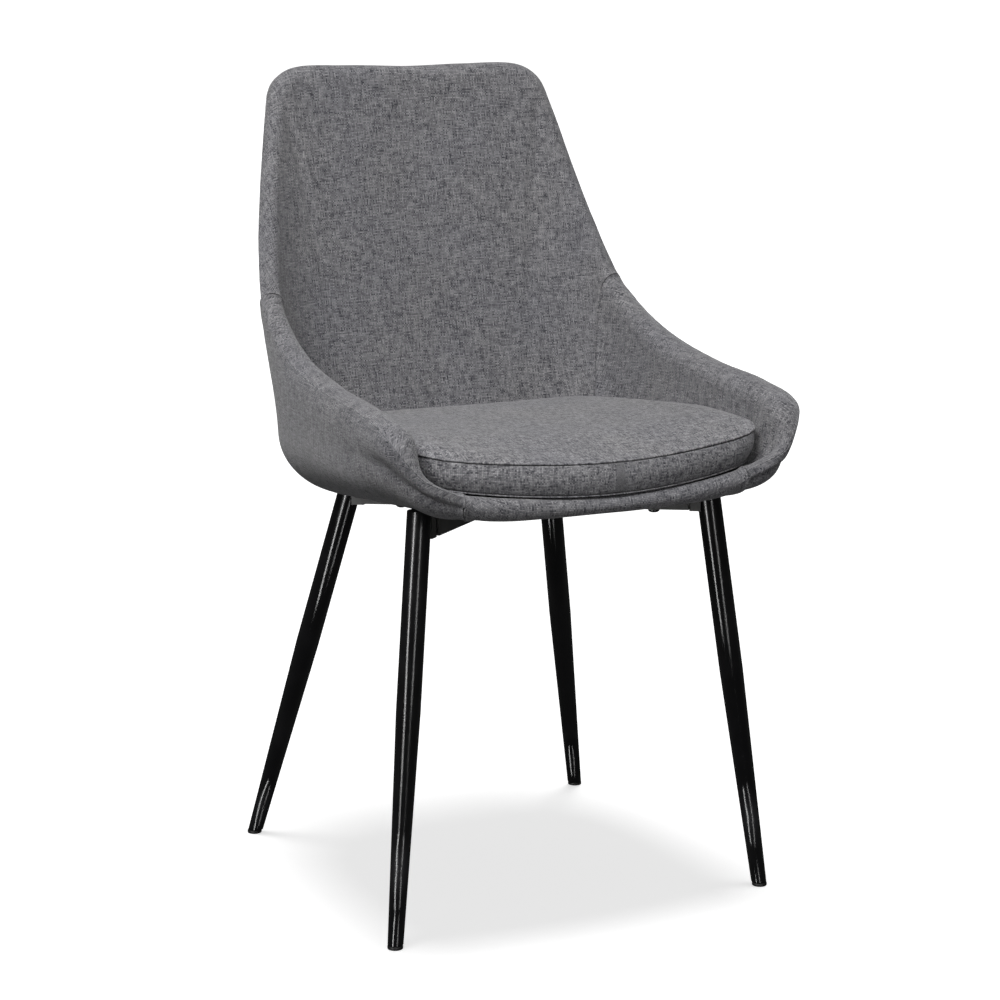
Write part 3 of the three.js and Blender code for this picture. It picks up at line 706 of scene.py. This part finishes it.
@dataclass
class Panel:
    """One cut of the woven cover, as a grid of points between its sewn edges."""

    name: str
    nodes: tuple[str, ...]
    columns: list[list[Vector]]
    seams: tuple[bool, bool, bool, bool]    # sewn at the first column, last column, first row, last row
    fullness: float = 0.0008
    groove: float = 0.0015
    turn: float = 0.0036

    def build(self, material: bpy.types.Material) -> bpy.types.Object:
        """Make the panel.

        Args:
            material: The woven cover.

        Returns:
            The panel's piece, with its thickness.
        """
        columns, rows = len(self.columns), len(self.columns[0])
        mesh = bmesh.new()
        bmesh.ops.create_grid(mesh, x_segments=columns - 1, y_segments=rows - 1, size=1.0)
        mesh.verts.ensure_lookup_table()
        place: Places = {}
        for vert in mesh.verts:
            i = round((vert.co.x + 1) / 2 * (columns - 1))
            j = round((vert.co.y + 1) / 2 * (rows - 1))
            place[vert] = (i, j)
            vert.co = self.columns[i][j]
        self.lay_flat(mesh, place)
        bmesh.ops.recalc_face_normals(mesh, faces=mesh.faces)
        self.pad(mesh, place)
        piece = finish_piece(mesh, self.name, material)
        give_thickness(piece, 0.0016)
        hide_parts(*self.nodes)
        return piece

    def lay_flat(self, mesh: bmesh.types.BMesh, place: Places) -> None:
        """Write the cloth's own map, in metres, so that the yarns run level and upright on each panel."""
        columns, rows = len(self.columns), len(self.columns[0])
        middle = columns // 2
        across = [[0.0] * rows for _ in range(columns)]
        for j in range(rows):
            for i in range(1, columns):
                step = self.columns[i][j] - self.columns[i - 1][j]
                across[i][j] = across[i - 1][j] + math.hypot(step.x, step.y)
            start = across[middle][j]
            for i in range(columns):
                across[i][j] -= start
        upward = [[0.0] * rows for _ in range(columns)]
        for i in range(columns):
            for j in range(1, rows):
                upward[i][j] = upward[i][j - 1] + (self.columns[i][j] - self.columns[i][j - 1]).length
        layer = mesh.loops.layers.uv.new("cloth")
        for face in mesh.faces:
            for loop in face.loops:
                i, j = place[loop.vert]
                loop[layer].uv = (across[i][j], upward[i][j])

    def edge_distances(self, i: int, j: int) -> list[tuple[float, float]]:
        """How far a point lies from each sewn edge, and how far along that edge, in metres."""
        found = []
        column = self.columns[i]
        if self.seams[0]:
            found.append(((self.columns[0][j] - column[j]).length, column[j].z))
        if self.seams[1]:
            found.append(((self.columns[-1][j] - column[j]).length, column[j].z))
        if self.seams[2]:
            found.append(((column[0] - column[j]).length, column[j].x + column[j].y))
        if self.seams[3]:
            found.append(((column[-1] - column[j]).length, column[j].x - column[j].y + column[j].z))
        return found

    def pad(self, mesh: bmesh.types.BMesh, place: Places) -> None:
        """Fill the panel out, with soft hollows, and turn its sewn edges down into their seams."""
        normals = {vert: vert.normal.copy() for vert in mesh.verts}
        for vert in mesh.verts:
            i, j = place[vert]
            point = vert.co.copy()
            lift = (noise.noise(point * 11.0) + noise.noise(point * 34.0) * 0.35) * self.fullness
            distances = self.edge_distances(i, j)
            near = min((d for d, _ in distances), default=1.0)
            lift *= min(1.0, near / 0.02)
            for distance, run in distances:
                lift += 0.0007 * math.exp(-((distance - 0.010) / 0.007) ** 2)
                lift += 0.00018 * math.sin(run * 620.0) * math.exp(-distance / 0.006)
            if near < self.turn:
                lift -= self.groove * (1 - near / self.turn) ** 1.6
            vert.co = point + normals[vert] * lift
        mesh.normal_update()


@dataclass
class Bucket:
    """The upholstered bucket: its cover panels, their seams and the stitches beside them."""

    wardrobe: Wardrobe
    form: BucketForm = field(default_factory=lambda: BucketForm(RIBS))
    lip_rib: float = 2.0
    wing_rib: float = 9.0
    cell: float = 5.0           # the size of a cell of the panels' grids, in millimetres
    seam_turn: float = 3.6      # how wide the cover turns down into a seam, in millimetres
    band_rows: int = 22         # cells of the front band from the deck to the underside
    stitch_inset: float = 8.0   # how far below the rim's seam the stitches run, in millimetres
    stitch_step: float = 0.02   # how closely the stitches' line is followed, in ribs
    staples: int = 72
    staple_inset: float = 6.0   # how far inside the edge of the underside a staple sits, in millimetres
    staple_size: tuple[float, float, float] = (0.0105, 0.0011, 0.0007)

    def rim_length(self, start: float, end: float) -> float:
        """The length of the rim between two places, in millimetres."""
        return length_of([self.form.crest.at(start + (end - start) * k / 64) for k in range(65)])

    def grid(self, start: float, end: float, inner: bool) -> list[list[Vector]]:
        """The grid of points of a panel on one face of the bucket.

        Args:
            start: The place on the rim where it starts.
            end: The place where it ends.
            inner: Whether it is on the inner face.

        Returns:
            Its columns, each from the bottom up to the rim, in metres in the chair's frame.
        """
        middle = self.form.lines((start + end) / 2)[0 if inner else 1]
        height = length_of(middle)
        width = self.rim_length(start, end)
        lap = self.form.SEAM_LAP / width * (end - start)
        start, end = start - lap, end + lap
        across = crowded(round(width / self.cell), self.seam_turn / width)
        places = [start + (end - start) * s for s in across]
        shares = crowded(round(height / self.cell), self.seam_turn / height, both=False)
        columns = []
        for place in places:
            line = self.form.lines(place)[0 if inner else 1]
            columns.append([to_chair(p) for p in spaced(line, shares)])
        return columns

    def band_grid(self) -> list[list[Vector]]:
        """The grid of the front band, from the deck over the lip to the underside."""
        start, end = -self.lip_rib, self.lip_rib
        width = self.rim_length(start, end)
        shares = [k / self.band_rows for k in range(self.band_rows + 1)]
        columns = []
        for s in crowded(round(width / self.cell), self.seam_turn / width):
            inner, outer = self.form.lines(start + (end - start) * s)
            columns.append([to_chair(p) for p in spaced(inner + outer[-2::-1], shares)])
        return columns

    def build(self) -> None:
        """Make every panel and its stitches."""
        wing, lip, whole = self.wing_rib, self.lip_rib, self.form.count
        cuts = (
            ("back", ("back_cover", "padding"), wing, whole - wing),
            ("side_right", ("side_cover_right",), lip, wing),
            ("side_left", ("side_cover_left",), whole - wing, whole - lip),
        )
        cover = self.wardrobe.cover
        for face in ("inner", "outer"):
            for part, stands_for, start, end in cuts:
                columns = self.grid(start, end, face == "inner")
                if face == "outer":
                    columns.reverse()
                nodes = tuple(f"{face}_{name}" for name in stands_for)
                Panel(f"{face}_{part}_panel", nodes, columns, (True, True, False, True)).build(cover)
        Panel("front_band_panel", ("front_band",), self.band_grid(), (True, True, False, False)).build(cover)
        self.stitch()
        self.staple()

    def stitch(self) -> None:
        """Sew the stitches beside the rim's seam, on the inner panels."""
        mesh = bmesh.new()
        line = []
        place = self.lip_rib
        while place < self.form.count - self.lip_rib:
            inner = self.form.lines(place)[0]
            total = length_of(inner)
            shares = [1 - (self.stitch_inset - k) / total for k in (0, 1)]
            inset, before = spaced(inner, shares)
            line.append((to_chair(inset), (before - inset).normalized()))
            place += self.stitch_step
        Stitches(0.0052, 0.0038, 0.00045).sew(mesh, line)
        finish_piece(mesh, "rim_stitches", self.wardrobe.thread)

    def staple(self) -> None:
        """Drive the staples that hold the dust cloth, in a ring round the pan."""
        mesh = bmesh.new()
        fall = Vector((0.0, -SEAT_FALL, 1.0)).normalized()
        for k in range(self.staples):
            place = self.form.count * k / self.staples
            tuck = self.form.lines(place)[1][1]
            ahead = self.form.lines(place + 0.05)[1][1]
            inwards = (self.form.SEAT_CENTRE - tuck) * Vector((1, 1, 0))
            spot = tuck + inwards.normalized() * self.staple_inset
            spot.z = underside_z(spot.y) - 0.35
            along = (ahead - tuck).normalized()
            across = fall.cross(along).normalized()
            turn = Matrix((along, across, along.cross(across))).transposed().to_4x4()
            size = Matrix.Diagonal((*self.staple_size, 1.0))
            place = Matrix.Translation(to_chair(spot)) @ turn @ size
            made = bmesh.ops.create_cube(mesh, size=1.0, matrix=place)
            rims = list({e for v in made["verts"] for e in v.link_edges})
            bmesh.ops.bevel(
                mesh, geom=rims, offset=0.0002, affect="EDGES", segments=1, profile=0.5, material=-1
            )
        finish_piece(mesh, "dust_cloth_staples", self.wardrobe.zinc, smooth=False)


@dataclass(frozen=True)
class Stitches:
    """A row of lock stitches: short rounded threads, end to end along a line."""

    pitch: float
    length: float
    radius: float

    def sew(self, mesh: bmesh.types.BMesh, line: list[tuple[Vector, Vector]]) -> None:
        """Add the stitches along a line.

        Args:
            mesh: The mesh that takes them.
            line: Points of the line, each with the direction across it, on the cloth.
        """
        travelled, due = 0.0, self.pitch / 2
        for (a, across), (b, _) in pairwise(line):
            step = (b - a).length
            while due <= travelled + step:
                middle = a.lerp(b, (due - travelled) / step)
                self.one(mesh, middle, (b - a).normalized(), across)
                due += self.pitch
            travelled += step

    def one(self, mesh: bmesh.types.BMesh, middle: Vector, along: Vector, across: Vector) -> None:
        """Add one stitch: a small ball drawn out along the line."""
        up = along.cross(across).normalized()
        turn = Matrix((along, up.cross(along), up)).transposed().to_4x4()
        size = Matrix.Diagonal((self.length / 2, self.radius, self.radius, 1.0))
        place = Matrix.Translation(middle) @ turn @ size
        bmesh.ops.create_icosphere(mesh, subdivisions=1, radius=1.0, matrix=place)


# ---- Seat cushion --------------------------------------------------------------------------------


@dataclass
class SeatCushion:
    """The loose boxed cushion: a top panel, a boxing band and a bottom panel round soft foam."""

    wardrobe: Wardrobe
    half_width: float = 198.0
    front: float = -267.0
    back: float = 129.0
    crown: float = 17.0         # how far the middle stands over the top seam
    lift: float = 1.5           # its underside over the deck
    cells: int = 64             # cells along each side of a panel
    under_width: float = 0.95
    under_back: float = 0.84
    top_rise: float = 14.0
    bottom_rise: float = 20.0
    shoulder: float = 13.0      # how far from the seam the crown has mostly risen
    bulge: float = 4.5          # how far the band stands out between its seams
    swell: float = 0.005        # the most that the pressed foam moves the cover, in metres
    seam_depth: float = 0.0019  # how far a seam is drawn in, in metres
    top_height: float = 491.0   # the top seam at the front
    corners: tuple[float, float] = (3.15, 7.0)

    def plan(self) -> ClosedCurve:
        """The cushion's outline, counted from the middle of its front."""
        half = [(0, self.front), (100, -257), (168, -240), (188, -222), (self.half_width, -170),
                (self.half_width, -60), (186, 36), (158, 93), (104, self.back - 10), (0, self.back)]
        whole = half + [(-x, y) for x, y in half[-2:0:-1]]
        return ClosedCurve(Vector((x, y, 0.0)) for x, y in whole)

    def top_z(self, point: Vector) -> float:
        """The height of the top seam over a point of the plan."""
        ahead = min(max((60 - point.y) / 180, -0.3), 1.0)
        rise = self.top_rise * ahead * (point.x / self.half_width) ** 2
        depth = point.y - self.front
        return self.top_height - 0.0126 * depth - 5.0 * max(0.0, depth / 200 - 1) ** 2 + rise

    def bottom_z(self, point: Vector) -> float:
        """The height of the bottom seam over a point of the plan."""
        rise = self.bottom_rise * (point.x / self.half_width) ** 2
        return underside_z(point.y) + PAN_DEPTH + self.lift + rise

    def patch(self, u: float, v: float, plan: ClosedCurve) -> Vector:
        """A point of the plan, from the four sides between its corners.

        Args:
            u: From 0 at the left to 1 at the right.
            v: From 0 at the front to 1 at the back.
            plan: The outline.

        Returns:
            The point, in millimetres.
        """
        first, second = self.corners
        whole = len(plan.points)
        front = plan.at(-first + 2 * first * u)
        rear = plan.at(whole - second - (whole - 2 * second) * u)
        right = plan.at(first + (second - first) * v)
        left = plan.at(whole - first - (second - first) * v)
        corner = [plan.at(-first), plan.at(first), plan.at(-second), plan.at(second)]
        flat = ((corner[0] * (1 - u) + corner[1] * u) * (1 - v) + (corner[2] * (1 - u) + corner[3] * u) * v)
        return front * (1 - v) + rear * v + left * (1 - u) + right * u - flat

    def build(self) -> None:
        """Make the cushion, press it full and part it into its panels."""
        plan = self.plan()
        mesh = bmesh.new()
        part = mesh.faces.layers.int.new("part")
        side = mesh.verts.layers.float.new("seam")
        inset = crowded(self.cells, 0.009)
        count = len(inset) - 1
        for number, (height, sign) in enumerate(((self.top_z, 1), (self.bottom_z, -1))):
            before = set(mesh.verts)
            bmesh.ops.create_grid(mesh, x_segments=count, y_segments=count, size=1.0)
            added = [v for v in mesh.verts if v not in before]
            for vert in added:
                i, j = (round((c + 1) / 2 * count) for c in vert.co[:2])
                point = self.patch(inset[i], inset[j], plan)
                if sign < 0:
                    behind = self.under_back if point.y > 0 else 1.0
                    point = Vector((point.x * self.under_width, point.y * behind, 0))
                point.z = height(point)
                if sign > 0:
                    edge = 2 * self.half_width * min(inset[i], 1 - inset[i], inset[j], 1 - inset[j])
                    inner = (1 - (2 * inset[i] - 1) ** 2) * (1 - (2 * inset[j] - 1) ** 2)
                    point.z += (self.crown - 4) * (0.7 * (1 - math.exp(-edge / self.shoulder)) + 0.3 * inner)
                vert.co = to_chair(point)
            for face in {f for v in added for f in v.link_faces}:
                face[part] = number
                if (face.normal.z > 0) != (sign > 0):
                    face.normal_flip()
        borders = [e for e in mesh.edges if e.is_boundary]
        for vert in {v for e in borders for v in e.verts}:
            vert[side] = 1.0
        bridge = bmesh.ops.bridge_loops(mesh, edges=borders)
        for face in bridge["faces"]:
            face[part] = 2
        bmesh.ops.subdivide_edges(mesh, edges=bridge["edges"], cuts=6, use_grid_fill=True)
        bmesh.ops.recalc_face_normals(mesh, faces=mesh.faces)
        self.round_band(mesh, part)
        data = bpy.data.meshes.new("cushion_form")
        mesh.to_mesh(data)
        mesh.free()
        whole = bpy.data.objects.new("cushion_form", data)
        bpy.context.scene.collection.objects.link(whole)
        self.press(whole)
        self.part(whole)

    def round_band(self, mesh: bmesh.types.BMesh, part: bmesh.types.BMLayerItem) -> None:
        """Stand the band out between its two seams, fullest just above the middle."""
        mesh.normal_update()
        band = {v for v in mesh.verts if all(f[part] == 2 for f in v.link_faces)}
        moves = {}
        for vert in band:
            point = Vector((vert.co.x / MM, vert.co.y / MM - MIDDLE_Y, 0))
            low, high = self.bottom_z(point) * MM, self.top_z(point) * MM
            share = min(max((vert.co.z - low) / (high - low), 0.0), 1.0)
            moves[vert] = vert.normal * math.sin(math.pi * share) * self.bulge * MM
        for vert, move in moves.items():
            vert.co += move

    def press(self, whole: bpy.types.Object) -> None:
        """Fill the cushion by pressing its cover out from inside, held at its seams."""
        scene = bpy.context.scene
        rest = [v.co.copy() for v in whole.data.vertices]
        held = whole.vertex_groups.new(name="held")
        seam = whole.data.attributes["seam"].data
        held.add([k for k, value in enumerate(seam) if value.value > 0.5], 1.0, "REPLACE")
        cloth = whole.modifiers.new("pressing", "CLOTH")
        settings = cloth.settings
        settings.quality = 6
        settings.mass = 0.3
        settings.tension_stiffness = settings.compression_stiffness = 12.0
        settings.shear_stiffness = 6.0
        settings.bending_stiffness = 0.6
        settings.use_pressure = True
        settings.uniform_pressure_force = 4.0
        settings.effector_weights.gravity = 0.0
        settings.vertex_group_mass = "held"
        cloth.point_cache.frame_start, cloth.point_cache.frame_end = 1, 20
        for frame in range(1, 21):
            scene.frame_set(frame)
        graph = bpy.context.evaluated_depsgraph_get()
        pressed = [v.co.copy() for v in whole.evaluated_get(graph).data.vertices]
        whole.modifiers.remove(cloth)
        for vert, start, end in zip(whole.data.vertices, rest, pressed):
            move = end - start
            most = self.swell if start.z > 0.475 else self.swell * 0.25
            if move.length > most:
                move *= most / move.length
            vert.co = start + move
        scene.frame_set(1)

    def part(self, whole: bpy.types.Object) -> None:
        """Part the pressed cushion into its three panels, with their seams turned in."""
        names = {
            0: ("cushion_top", ("cushion_top_panel", "cushion_foam"), self.wardrobe.seat_cover),
            1: ("cushion_bottom", ("cushion_bottom_panel",), self.wardrobe.cover),
            2: ("cushion_band", ("cushion_boxing",), self.wardrobe.seat_cover),
        }
        for number, (name, nodes, material) in names.items():
            mesh = bmesh.new()
            mesh.from_mesh(whole.data)
            mesh.normal_update()
            self.turn_in_seams(mesh)
            part = mesh.faces.layers.int["part"]
            bmesh.ops.delete(mesh, geom=[f for f in mesh.faces if f[part] != number], context="FACES")
            self.lay_flat(mesh, number == 2)
            piece = finish_piece(mesh, name, material)
            give_thickness(piece, 0.0016)
            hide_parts(*nodes)
        data = whole.data
        bpy.data.objects.remove(whole)
        bpy.data.meshes.remove(data)

    def turn_in_seams(self, mesh: bmesh.types.BMesh) -> None:
        """Draw the seam's points in below the cover."""
        side = mesh.verts.layers.float["seam"]
        normals = {v: v.normal.copy() for v in mesh.verts}
        for vert in mesh.verts:
            if vert[side] > 0.5:
                vert.co -= normals[vert] * self.seam_depth

    def lay_flat(self, mesh: bmesh.types.BMesh, band: bool) -> None:
        """Write the cloth's own map: the plan on the faces, and the way round on the band."""
        layer = mesh.loops.layers.uv.new("cloth")
        for face in mesh.faces:
            for loop in face.loops:
                co = loop.vert.co
                if band:
                    loop[layer].uv = (math.atan2(co.x, co.y + 0.07) * 0.2, co.z)
                else:
                    loop[layer].uv = (co.x, co.y)


# ---- Legs and frame ------------------------------------------------------------------------------


@dataclass(frozen=True)
class Leg:
    """One tapered steel leg with its glide."""

    side: Side
    radius: float = 12.5
    foot_radius: float = 8.0
    taper_top: float = 240.0
    top_gap: float = -4.0
    glide_height: float = 4.0
    top_z: float = 420.0

    @property
    def foot(self) -> Vector:
        """The middle of the foot, in millimetres from the middle of the feet."""
        x, y = (214.5, -204.5) if self.side.is_front else (206.5, 204.5)
        return Vector((self.side.turn * x, y, 0.0))

    @property
    def direction(self) -> Vector:
        """The direction of the leg's middle line, upwards."""
        x, y = (168.0, -165.0) if self.side.is_front else (119.5, 111.5)
        return (Vector((self.side.turn * x, y, self.top_z)) - self.foot).normalized()

    def tube(self, radius_at: list[tuple[float, float]]) -> bmesh.types.BMesh:
        """A turned body along the leg's middle line.

        Args:
            radius_at: Heights along the leg with the radius there, in millimetres.

        Returns:
            The body, closed at both ends.
        """
        mesh = bmesh.new()
        made = bmesh.ops.create_circle(mesh, cap_ends=True, segments=48, radius=radius_at[0][1] * MM)
        face = next(iter({f for v in made["verts"] for f in v.link_faces}))
        bmesh.ops.translate(mesh, vec=UP * radius_at[0][0] * MM, verts=face.verts)
        faces = [face]
        for (z0, r0), (z1, r1) in pairwise(radius_at):
            grown = bmesh.ops.extrude_face_region(mesh, geom=faces)
            top = [g for g in grown["geom"] if isinstance(g, bmesh.types.BMVert)]
            faces = [g for g in grown["geom"] if isinstance(g, bmesh.types.BMFace)]
            bmesh.ops.translate(mesh, vec=UP * (z1 - z0) * MM, verts=top)
            bmesh.ops.scale(mesh, vec=(r1 / r0, r1 / r0, 1.0), verts=top)
        turn = UP.rotation_difference(self.direction).to_matrix().to_4x4()
        place = Matrix.Translation(to_chair(self.foot)) @ turn
        bmesh.ops.transform(mesh, matrix=place, verts=mesh.verts)
        bmesh.ops.recalc_face_normals(mesh, faces=mesh.faces)
        return mesh

    def cut(self, mesh: bmesh.types.BMesh, point: Vector, away: Vector) -> None:
        """Cut everything off beyond a plane and close the end."""
        geometry = [*mesh.verts, *mesh.edges, *mesh.faces]
        made = bmesh.ops.bisect_plane(mesh, geom=geometry, plane_co=point, plane_no=away, clear_outer=True)
        edges = [g for g in made["geom_cut"] if isinstance(g, bmesh.types.BMEdge)]
        bmesh.ops.holes_fill(mesh, edges=edges, sides=0)

    def build(self, wardrobe: Wardrobe) -> None:
        """Make the leg's tube and its glide."""
        profile = [(-14.0, self.foot_radius), (0.0, self.foot_radius)]
        profile += [(self.taper_top * k / 6, self.foot_radius + (self.radius - self.foot_radius) * k / 6)
                    for k in range(1, 7)]
        profile += [(480.0, self.radius)]
        tube = self.tube(profile)
        self.cut(tube, UP * self.glide_height * MM, -UP)
        slope = Vector((0.0, SEAT_FALL, 1.0)).normalized()
        self.cut(tube, to_chair(Vector((0.0, 0.0, UNDERSIDE_Z))) - slope * self.top_gap * MM, slope)
        bevel_rims(tube, 0.0007, 2)
        bmesh.ops.recalc_face_normals(tube, faces=tube.faces)
        name = self.side.value
        piece = finish_piece(tube, f"tapered_leg_{name}", wardrobe.steel)
        self.keep_edges_crisp(piece)
        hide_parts(f"leg_{name}")
        glide = bmesh.new()
        height = (self.glide_height - 0.3) * MM
        bmesh.ops.create_cone(glide, cap_ends=True, segments=48, radius1=self.foot_radius * MM,
                              radius2=self.foot_radius * MM, depth=height)
        bevel_rims(glide, 0.0009, 3)
        bmesh.ops.translate(glide, vec=to_chair(self.foot) + UP * height / 2, verts=glide.verts)
        piece = finish_piece(glide, f"foot_glide_{name}", wardrobe.glide)
        self.keep_edges_crisp(piece)
        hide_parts(f"glide_{name}")

    @staticmethod
    def keep_edges_crisp(piece: bpy.types.Object) -> None:
        """Shade a turned piece smooth round its body and crisp at its ends."""
        for polygon in piece.data.polygons:
            polygon.use_smooth = len(polygon.vertices) <= 4


@dataclass(frozen=True)
class SocketBolt:
    """One domed bolt with a socket in its head; its place comes from the frame."""

    node: str
    radius: float = 6.2
    head: float = 3.4
    shank: float = 3.0
    socket: float = 2.1
    socket_depth: float = 1.7

    def build(self, wardrobe: Wardrobe) -> None:
        """Make the bolt in the place of its frame node."""
        low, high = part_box(self.node)
        axis = Vector((0.0, SEAT_FALL, 1.0)).normalized()
        length = (high.z - low.z) / axis.z
        dome = [(r, (self.head - 0.5) * (1 - math.sqrt(1 - (r / self.radius) ** 2)))
                for r in (2.5, 3.4, 4.3, 5.1, 5.7, 6.05, self.radius)]
        profile = [(0.0, self.socket_depth), (self.socket, self.socket_depth), (self.socket, 0.5), *dome,
                   (self.radius, self.head), (self.shank, self.head), (self.shank, length / MM),
                   (0.0, length / MM)]
        mesh = bmesh.new()
        verts = [mesh.verts.new((r * MM, 0.0, z * MM)) for r, z in profile]
        edges = [mesh.edges.new(pair) for pair in pairwise(verts)]
        bmesh.ops.spin(
            mesh, geom=verts + edges, cent=(0, 0, 0), axis=UP, angle=math.tau, steps=32, use_merge=True
        )
        bmesh.ops.remove_doubles(mesh, verts=mesh.verts, dist=0.00002)
        bmesh.ops.recalc_face_normals(mesh, faces=mesh.faces)
        foot = (low + high) / 2 - axis * length / 2
        place = Matrix.Translation(foot) @ UP.rotation_difference(axis).to_matrix().to_4x4()
        bmesh.ops.transform(mesh, matrix=place, verts=mesh.verts)
        piece = finish_piece(mesh, f"domed_{self.node}", wardrobe.steel)
        piece.data.set_sharp_from_angle(angle=math.radians(40.0))
        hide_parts(self.node)


# ---- Studio --------------------------------------------------------------------------------------


@dataclass
class Studio:
    """A plain pale floor, soft lights and the camera."""

    camera_place: tuple[float, float, float] = (-1.2613, -2.5467, 0.9733)
    camera_turn: tuple[float, float, float] = (78.836, 0.0, -26.415)
    lens: float = 96.9
    shift: tuple[float, float] = (-0.00196, -0.0061)
    floor_glow: float = 0.65    # light of the floor's own, so that its shade stays pale
    room_light: float = 0.20    # the even light from all round
    seen_white: float = 1.1     # the background's brightness to the camera
    mirrored_room: float = 0.05  # the room's brightness in reflections

    def camera(self) -> None:
        """Set up the camera."""
        data = bpy.data.cameras.new("camera")
        data.lens = self.lens
        data.sensor_width = 36.0
        data.shift_x, data.shift_y = self.shift
        data.clip_end = 100.0
        camera = bpy.data.objects.new("camera", data)
        camera.location = self.camera_place
        camera.rotation_euler = [math.radians(a) for a in self.camera_turn]
        bpy.context.scene.collection.objects.link(camera)
        bpy.context.scene.camera = camera

    def floor(self) -> None:
        """Lay the pale floor."""
        mesh = bmesh.new()
        bmesh.ops.create_grid(mesh, x_segments=8, y_segments=8, size=14.0)
        data = bpy.data.meshes.new("floor")
        mesh.to_mesh(data)
        mesh.free()
        sheet = NodeSheet("floor_paint")
        place = sheet.coordinates("Object")
        mottle = sheet.noise(place, 3.0, 3.0)
        sheet.feed(Base_Color=sheet.blend(mottle, (0.90, 0.90, 0.90, 1.0), (0.93, 0.93, 0.93, 1.0)))
        sheet.set(Roughness=0.9, Specular_IOR_Level=0.1)
        sheet.set(Emission_Color=(1.0, 1.0, 1.0, 1.0), Emission_Strength=self.floor_glow)
        data.materials.append(sheet.material)
        floor = bpy.data.objects.new("floor", data)
        bpy.context.scene.collection.objects.link(floor)
        floor.visible_glossy = floor.visible_diffuse = False
        floor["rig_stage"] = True

    def world(self) -> None:
        """Light the room softly from all round, darker in reflections than to the eye."""
        world = bpy.data.worlds.new("studio")
        bpy.context.scene.world = world
        world.use_nodes = True
        tree = world.node_tree
        background = tree.nodes["Background"]
        output = tree.nodes["World Output"]
        background.inputs["Color"].default_value = (1.0, 1.0, 1.0, 1.0)
        background.inputs["Strength"].default_value = self.room_light
        white = tree.nodes.new("ShaderNodeBackground")
        white.inputs["Color"].default_value = (1.0, 1.0, 1.0, 1.0)
        white.inputs["Strength"].default_value = self.seen_white
        dim = tree.nodes.new("ShaderNodeBackground")
        dim.inputs["Strength"].default_value = self.mirrored_room
        path = tree.nodes.new("ShaderNodeLightPath")
        glossy = tree.nodes.new("ShaderNodeMixShader")
        seen = tree.nodes.new("ShaderNodeMixShader")
        tree.links.new(path.outputs["Is Glossy Ray"], glossy.inputs[0])
        tree.links.new(background.outputs[0], glossy.inputs[1])
        tree.links.new(dim.outputs[0], glossy.inputs[2])
        tree.links.new(path.outputs["Is Camera Ray"], seen.inputs[0])
        tree.links.new(glossy.outputs[0], seen.inputs[1])
        tree.links.new(white.outputs[0], seen.inputs[2])
        tree.links.new(seen.outputs[0], output.inputs["Surface"])

    def sky_light(self, name: str, power: float) -> bpy.types.Object:
        """Hang a very broad light straight overhead.

        Args:
            name: The light's name.
            power: Its strength.

        Returns:
            The light.
        """
        data = bpy.data.lights.new(name, "SUN")
        data.energy = power
        data.angle = math.radians(17.0)
        lamp = bpy.data.objects.new(name, data)
        lamp.visible_glossy = False
        bpy.context.scene.collection.objects.link(lamp)
        return lamp

    def lamp(
        self, name: str, place: tuple[float, float, float], size: tuple[float, float], power: float
    ) -> bpy.types.Object:
        """Hang a soft rectangular light that faces the seat.

        Args:
            name: The light's name.
            place: Where it hangs.
            size: Its width and height, in metres.
            power: Its power in watts.

        Returns:
            The light.
        """
        data = bpy.data.lights.new(name, "AREA")
        data.shape = "RECTANGLE"
        data.size, data.size_y = size
        data.energy = power
        lamp = bpy.data.objects.new(name, data)
        lamp.location = place
        lamp.rotation_euler = (Vector((0.0, 0.0, 0.45)) - Vector(place)).to_track_quat("-Z", "Y").to_euler()
        bpy.context.scene.collection.objects.link(lamp)
        return lamp

    def build(self) -> None:
        """Set up the floor, the lights and the camera."""
        self.camera()
        self.floor()
        self.world()
        for name, place, width, power in (
            ("strip_left", (-2.73, -1.25, -0.4), 0.34, 150.0),
            ("strip_front", (-0.18, -2.99, -0.4), 0.22, 48.0),
        ):
            strip = self.lamp(name, place, (width, 6.2), power)
            strip.rotation_euler.x = math.radians(90.0)
            strip.visible_diffuse = False
        bpy.context.scene.view_settings.view_transform = "Standard"

    def light_pieces(self) -> None:
        """Hang the main lights, which reach the chair alone, and the one that reaches the floor alone."""
        pieces = bpy.data.collections.new("lit_pieces")
        ground = bpy.data.collections.new("lit_floor")
        for piece in bpy.context.scene.objects:
            if piece.type == "MESH":
                (ground if piece.get("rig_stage") else pieces).objects.link(piece)
        for name, place, power in (
            ("key", (-1.95, -1.45, 2.9), 138.0),
            ("front", (-0.8, -3.0, 1.6), 12.0),
            ("top", (0.0, -1.2, 3.4), 38.0),
        ):
            lamp = self.lamp(name, place, (1.7, 1.7), power)
            lamp.visible_glossy = False
            lamp.light_linking.receiver_collection = pieces
        self.sky_light("floor_light", 1.6).light_linking.receiver_collection = ground


def main() -> None:
    """Build the chair and its studio."""
    logging.basicConfig(level=logging.INFO, format="%(name)s: %(message)s")
    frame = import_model()
    studio = Studio()
    studio.build()
    wardrobe = Wardrobe()
    wardrobe.dress_frame(frame["nodes"])
    Bucket(wardrobe).build()
    SeatCushion(wardrobe).build()
    for side in Side:
        Leg(side).build(wardrobe)
        for use in ("leg_bolt", "seat_bolt"):
            SocketBolt(f"{use}_{side.value}").build(wardrobe)
    studio.light_pieces()
    bpy.context.view_layer.update()


if __name__ == "__main__":
    main()
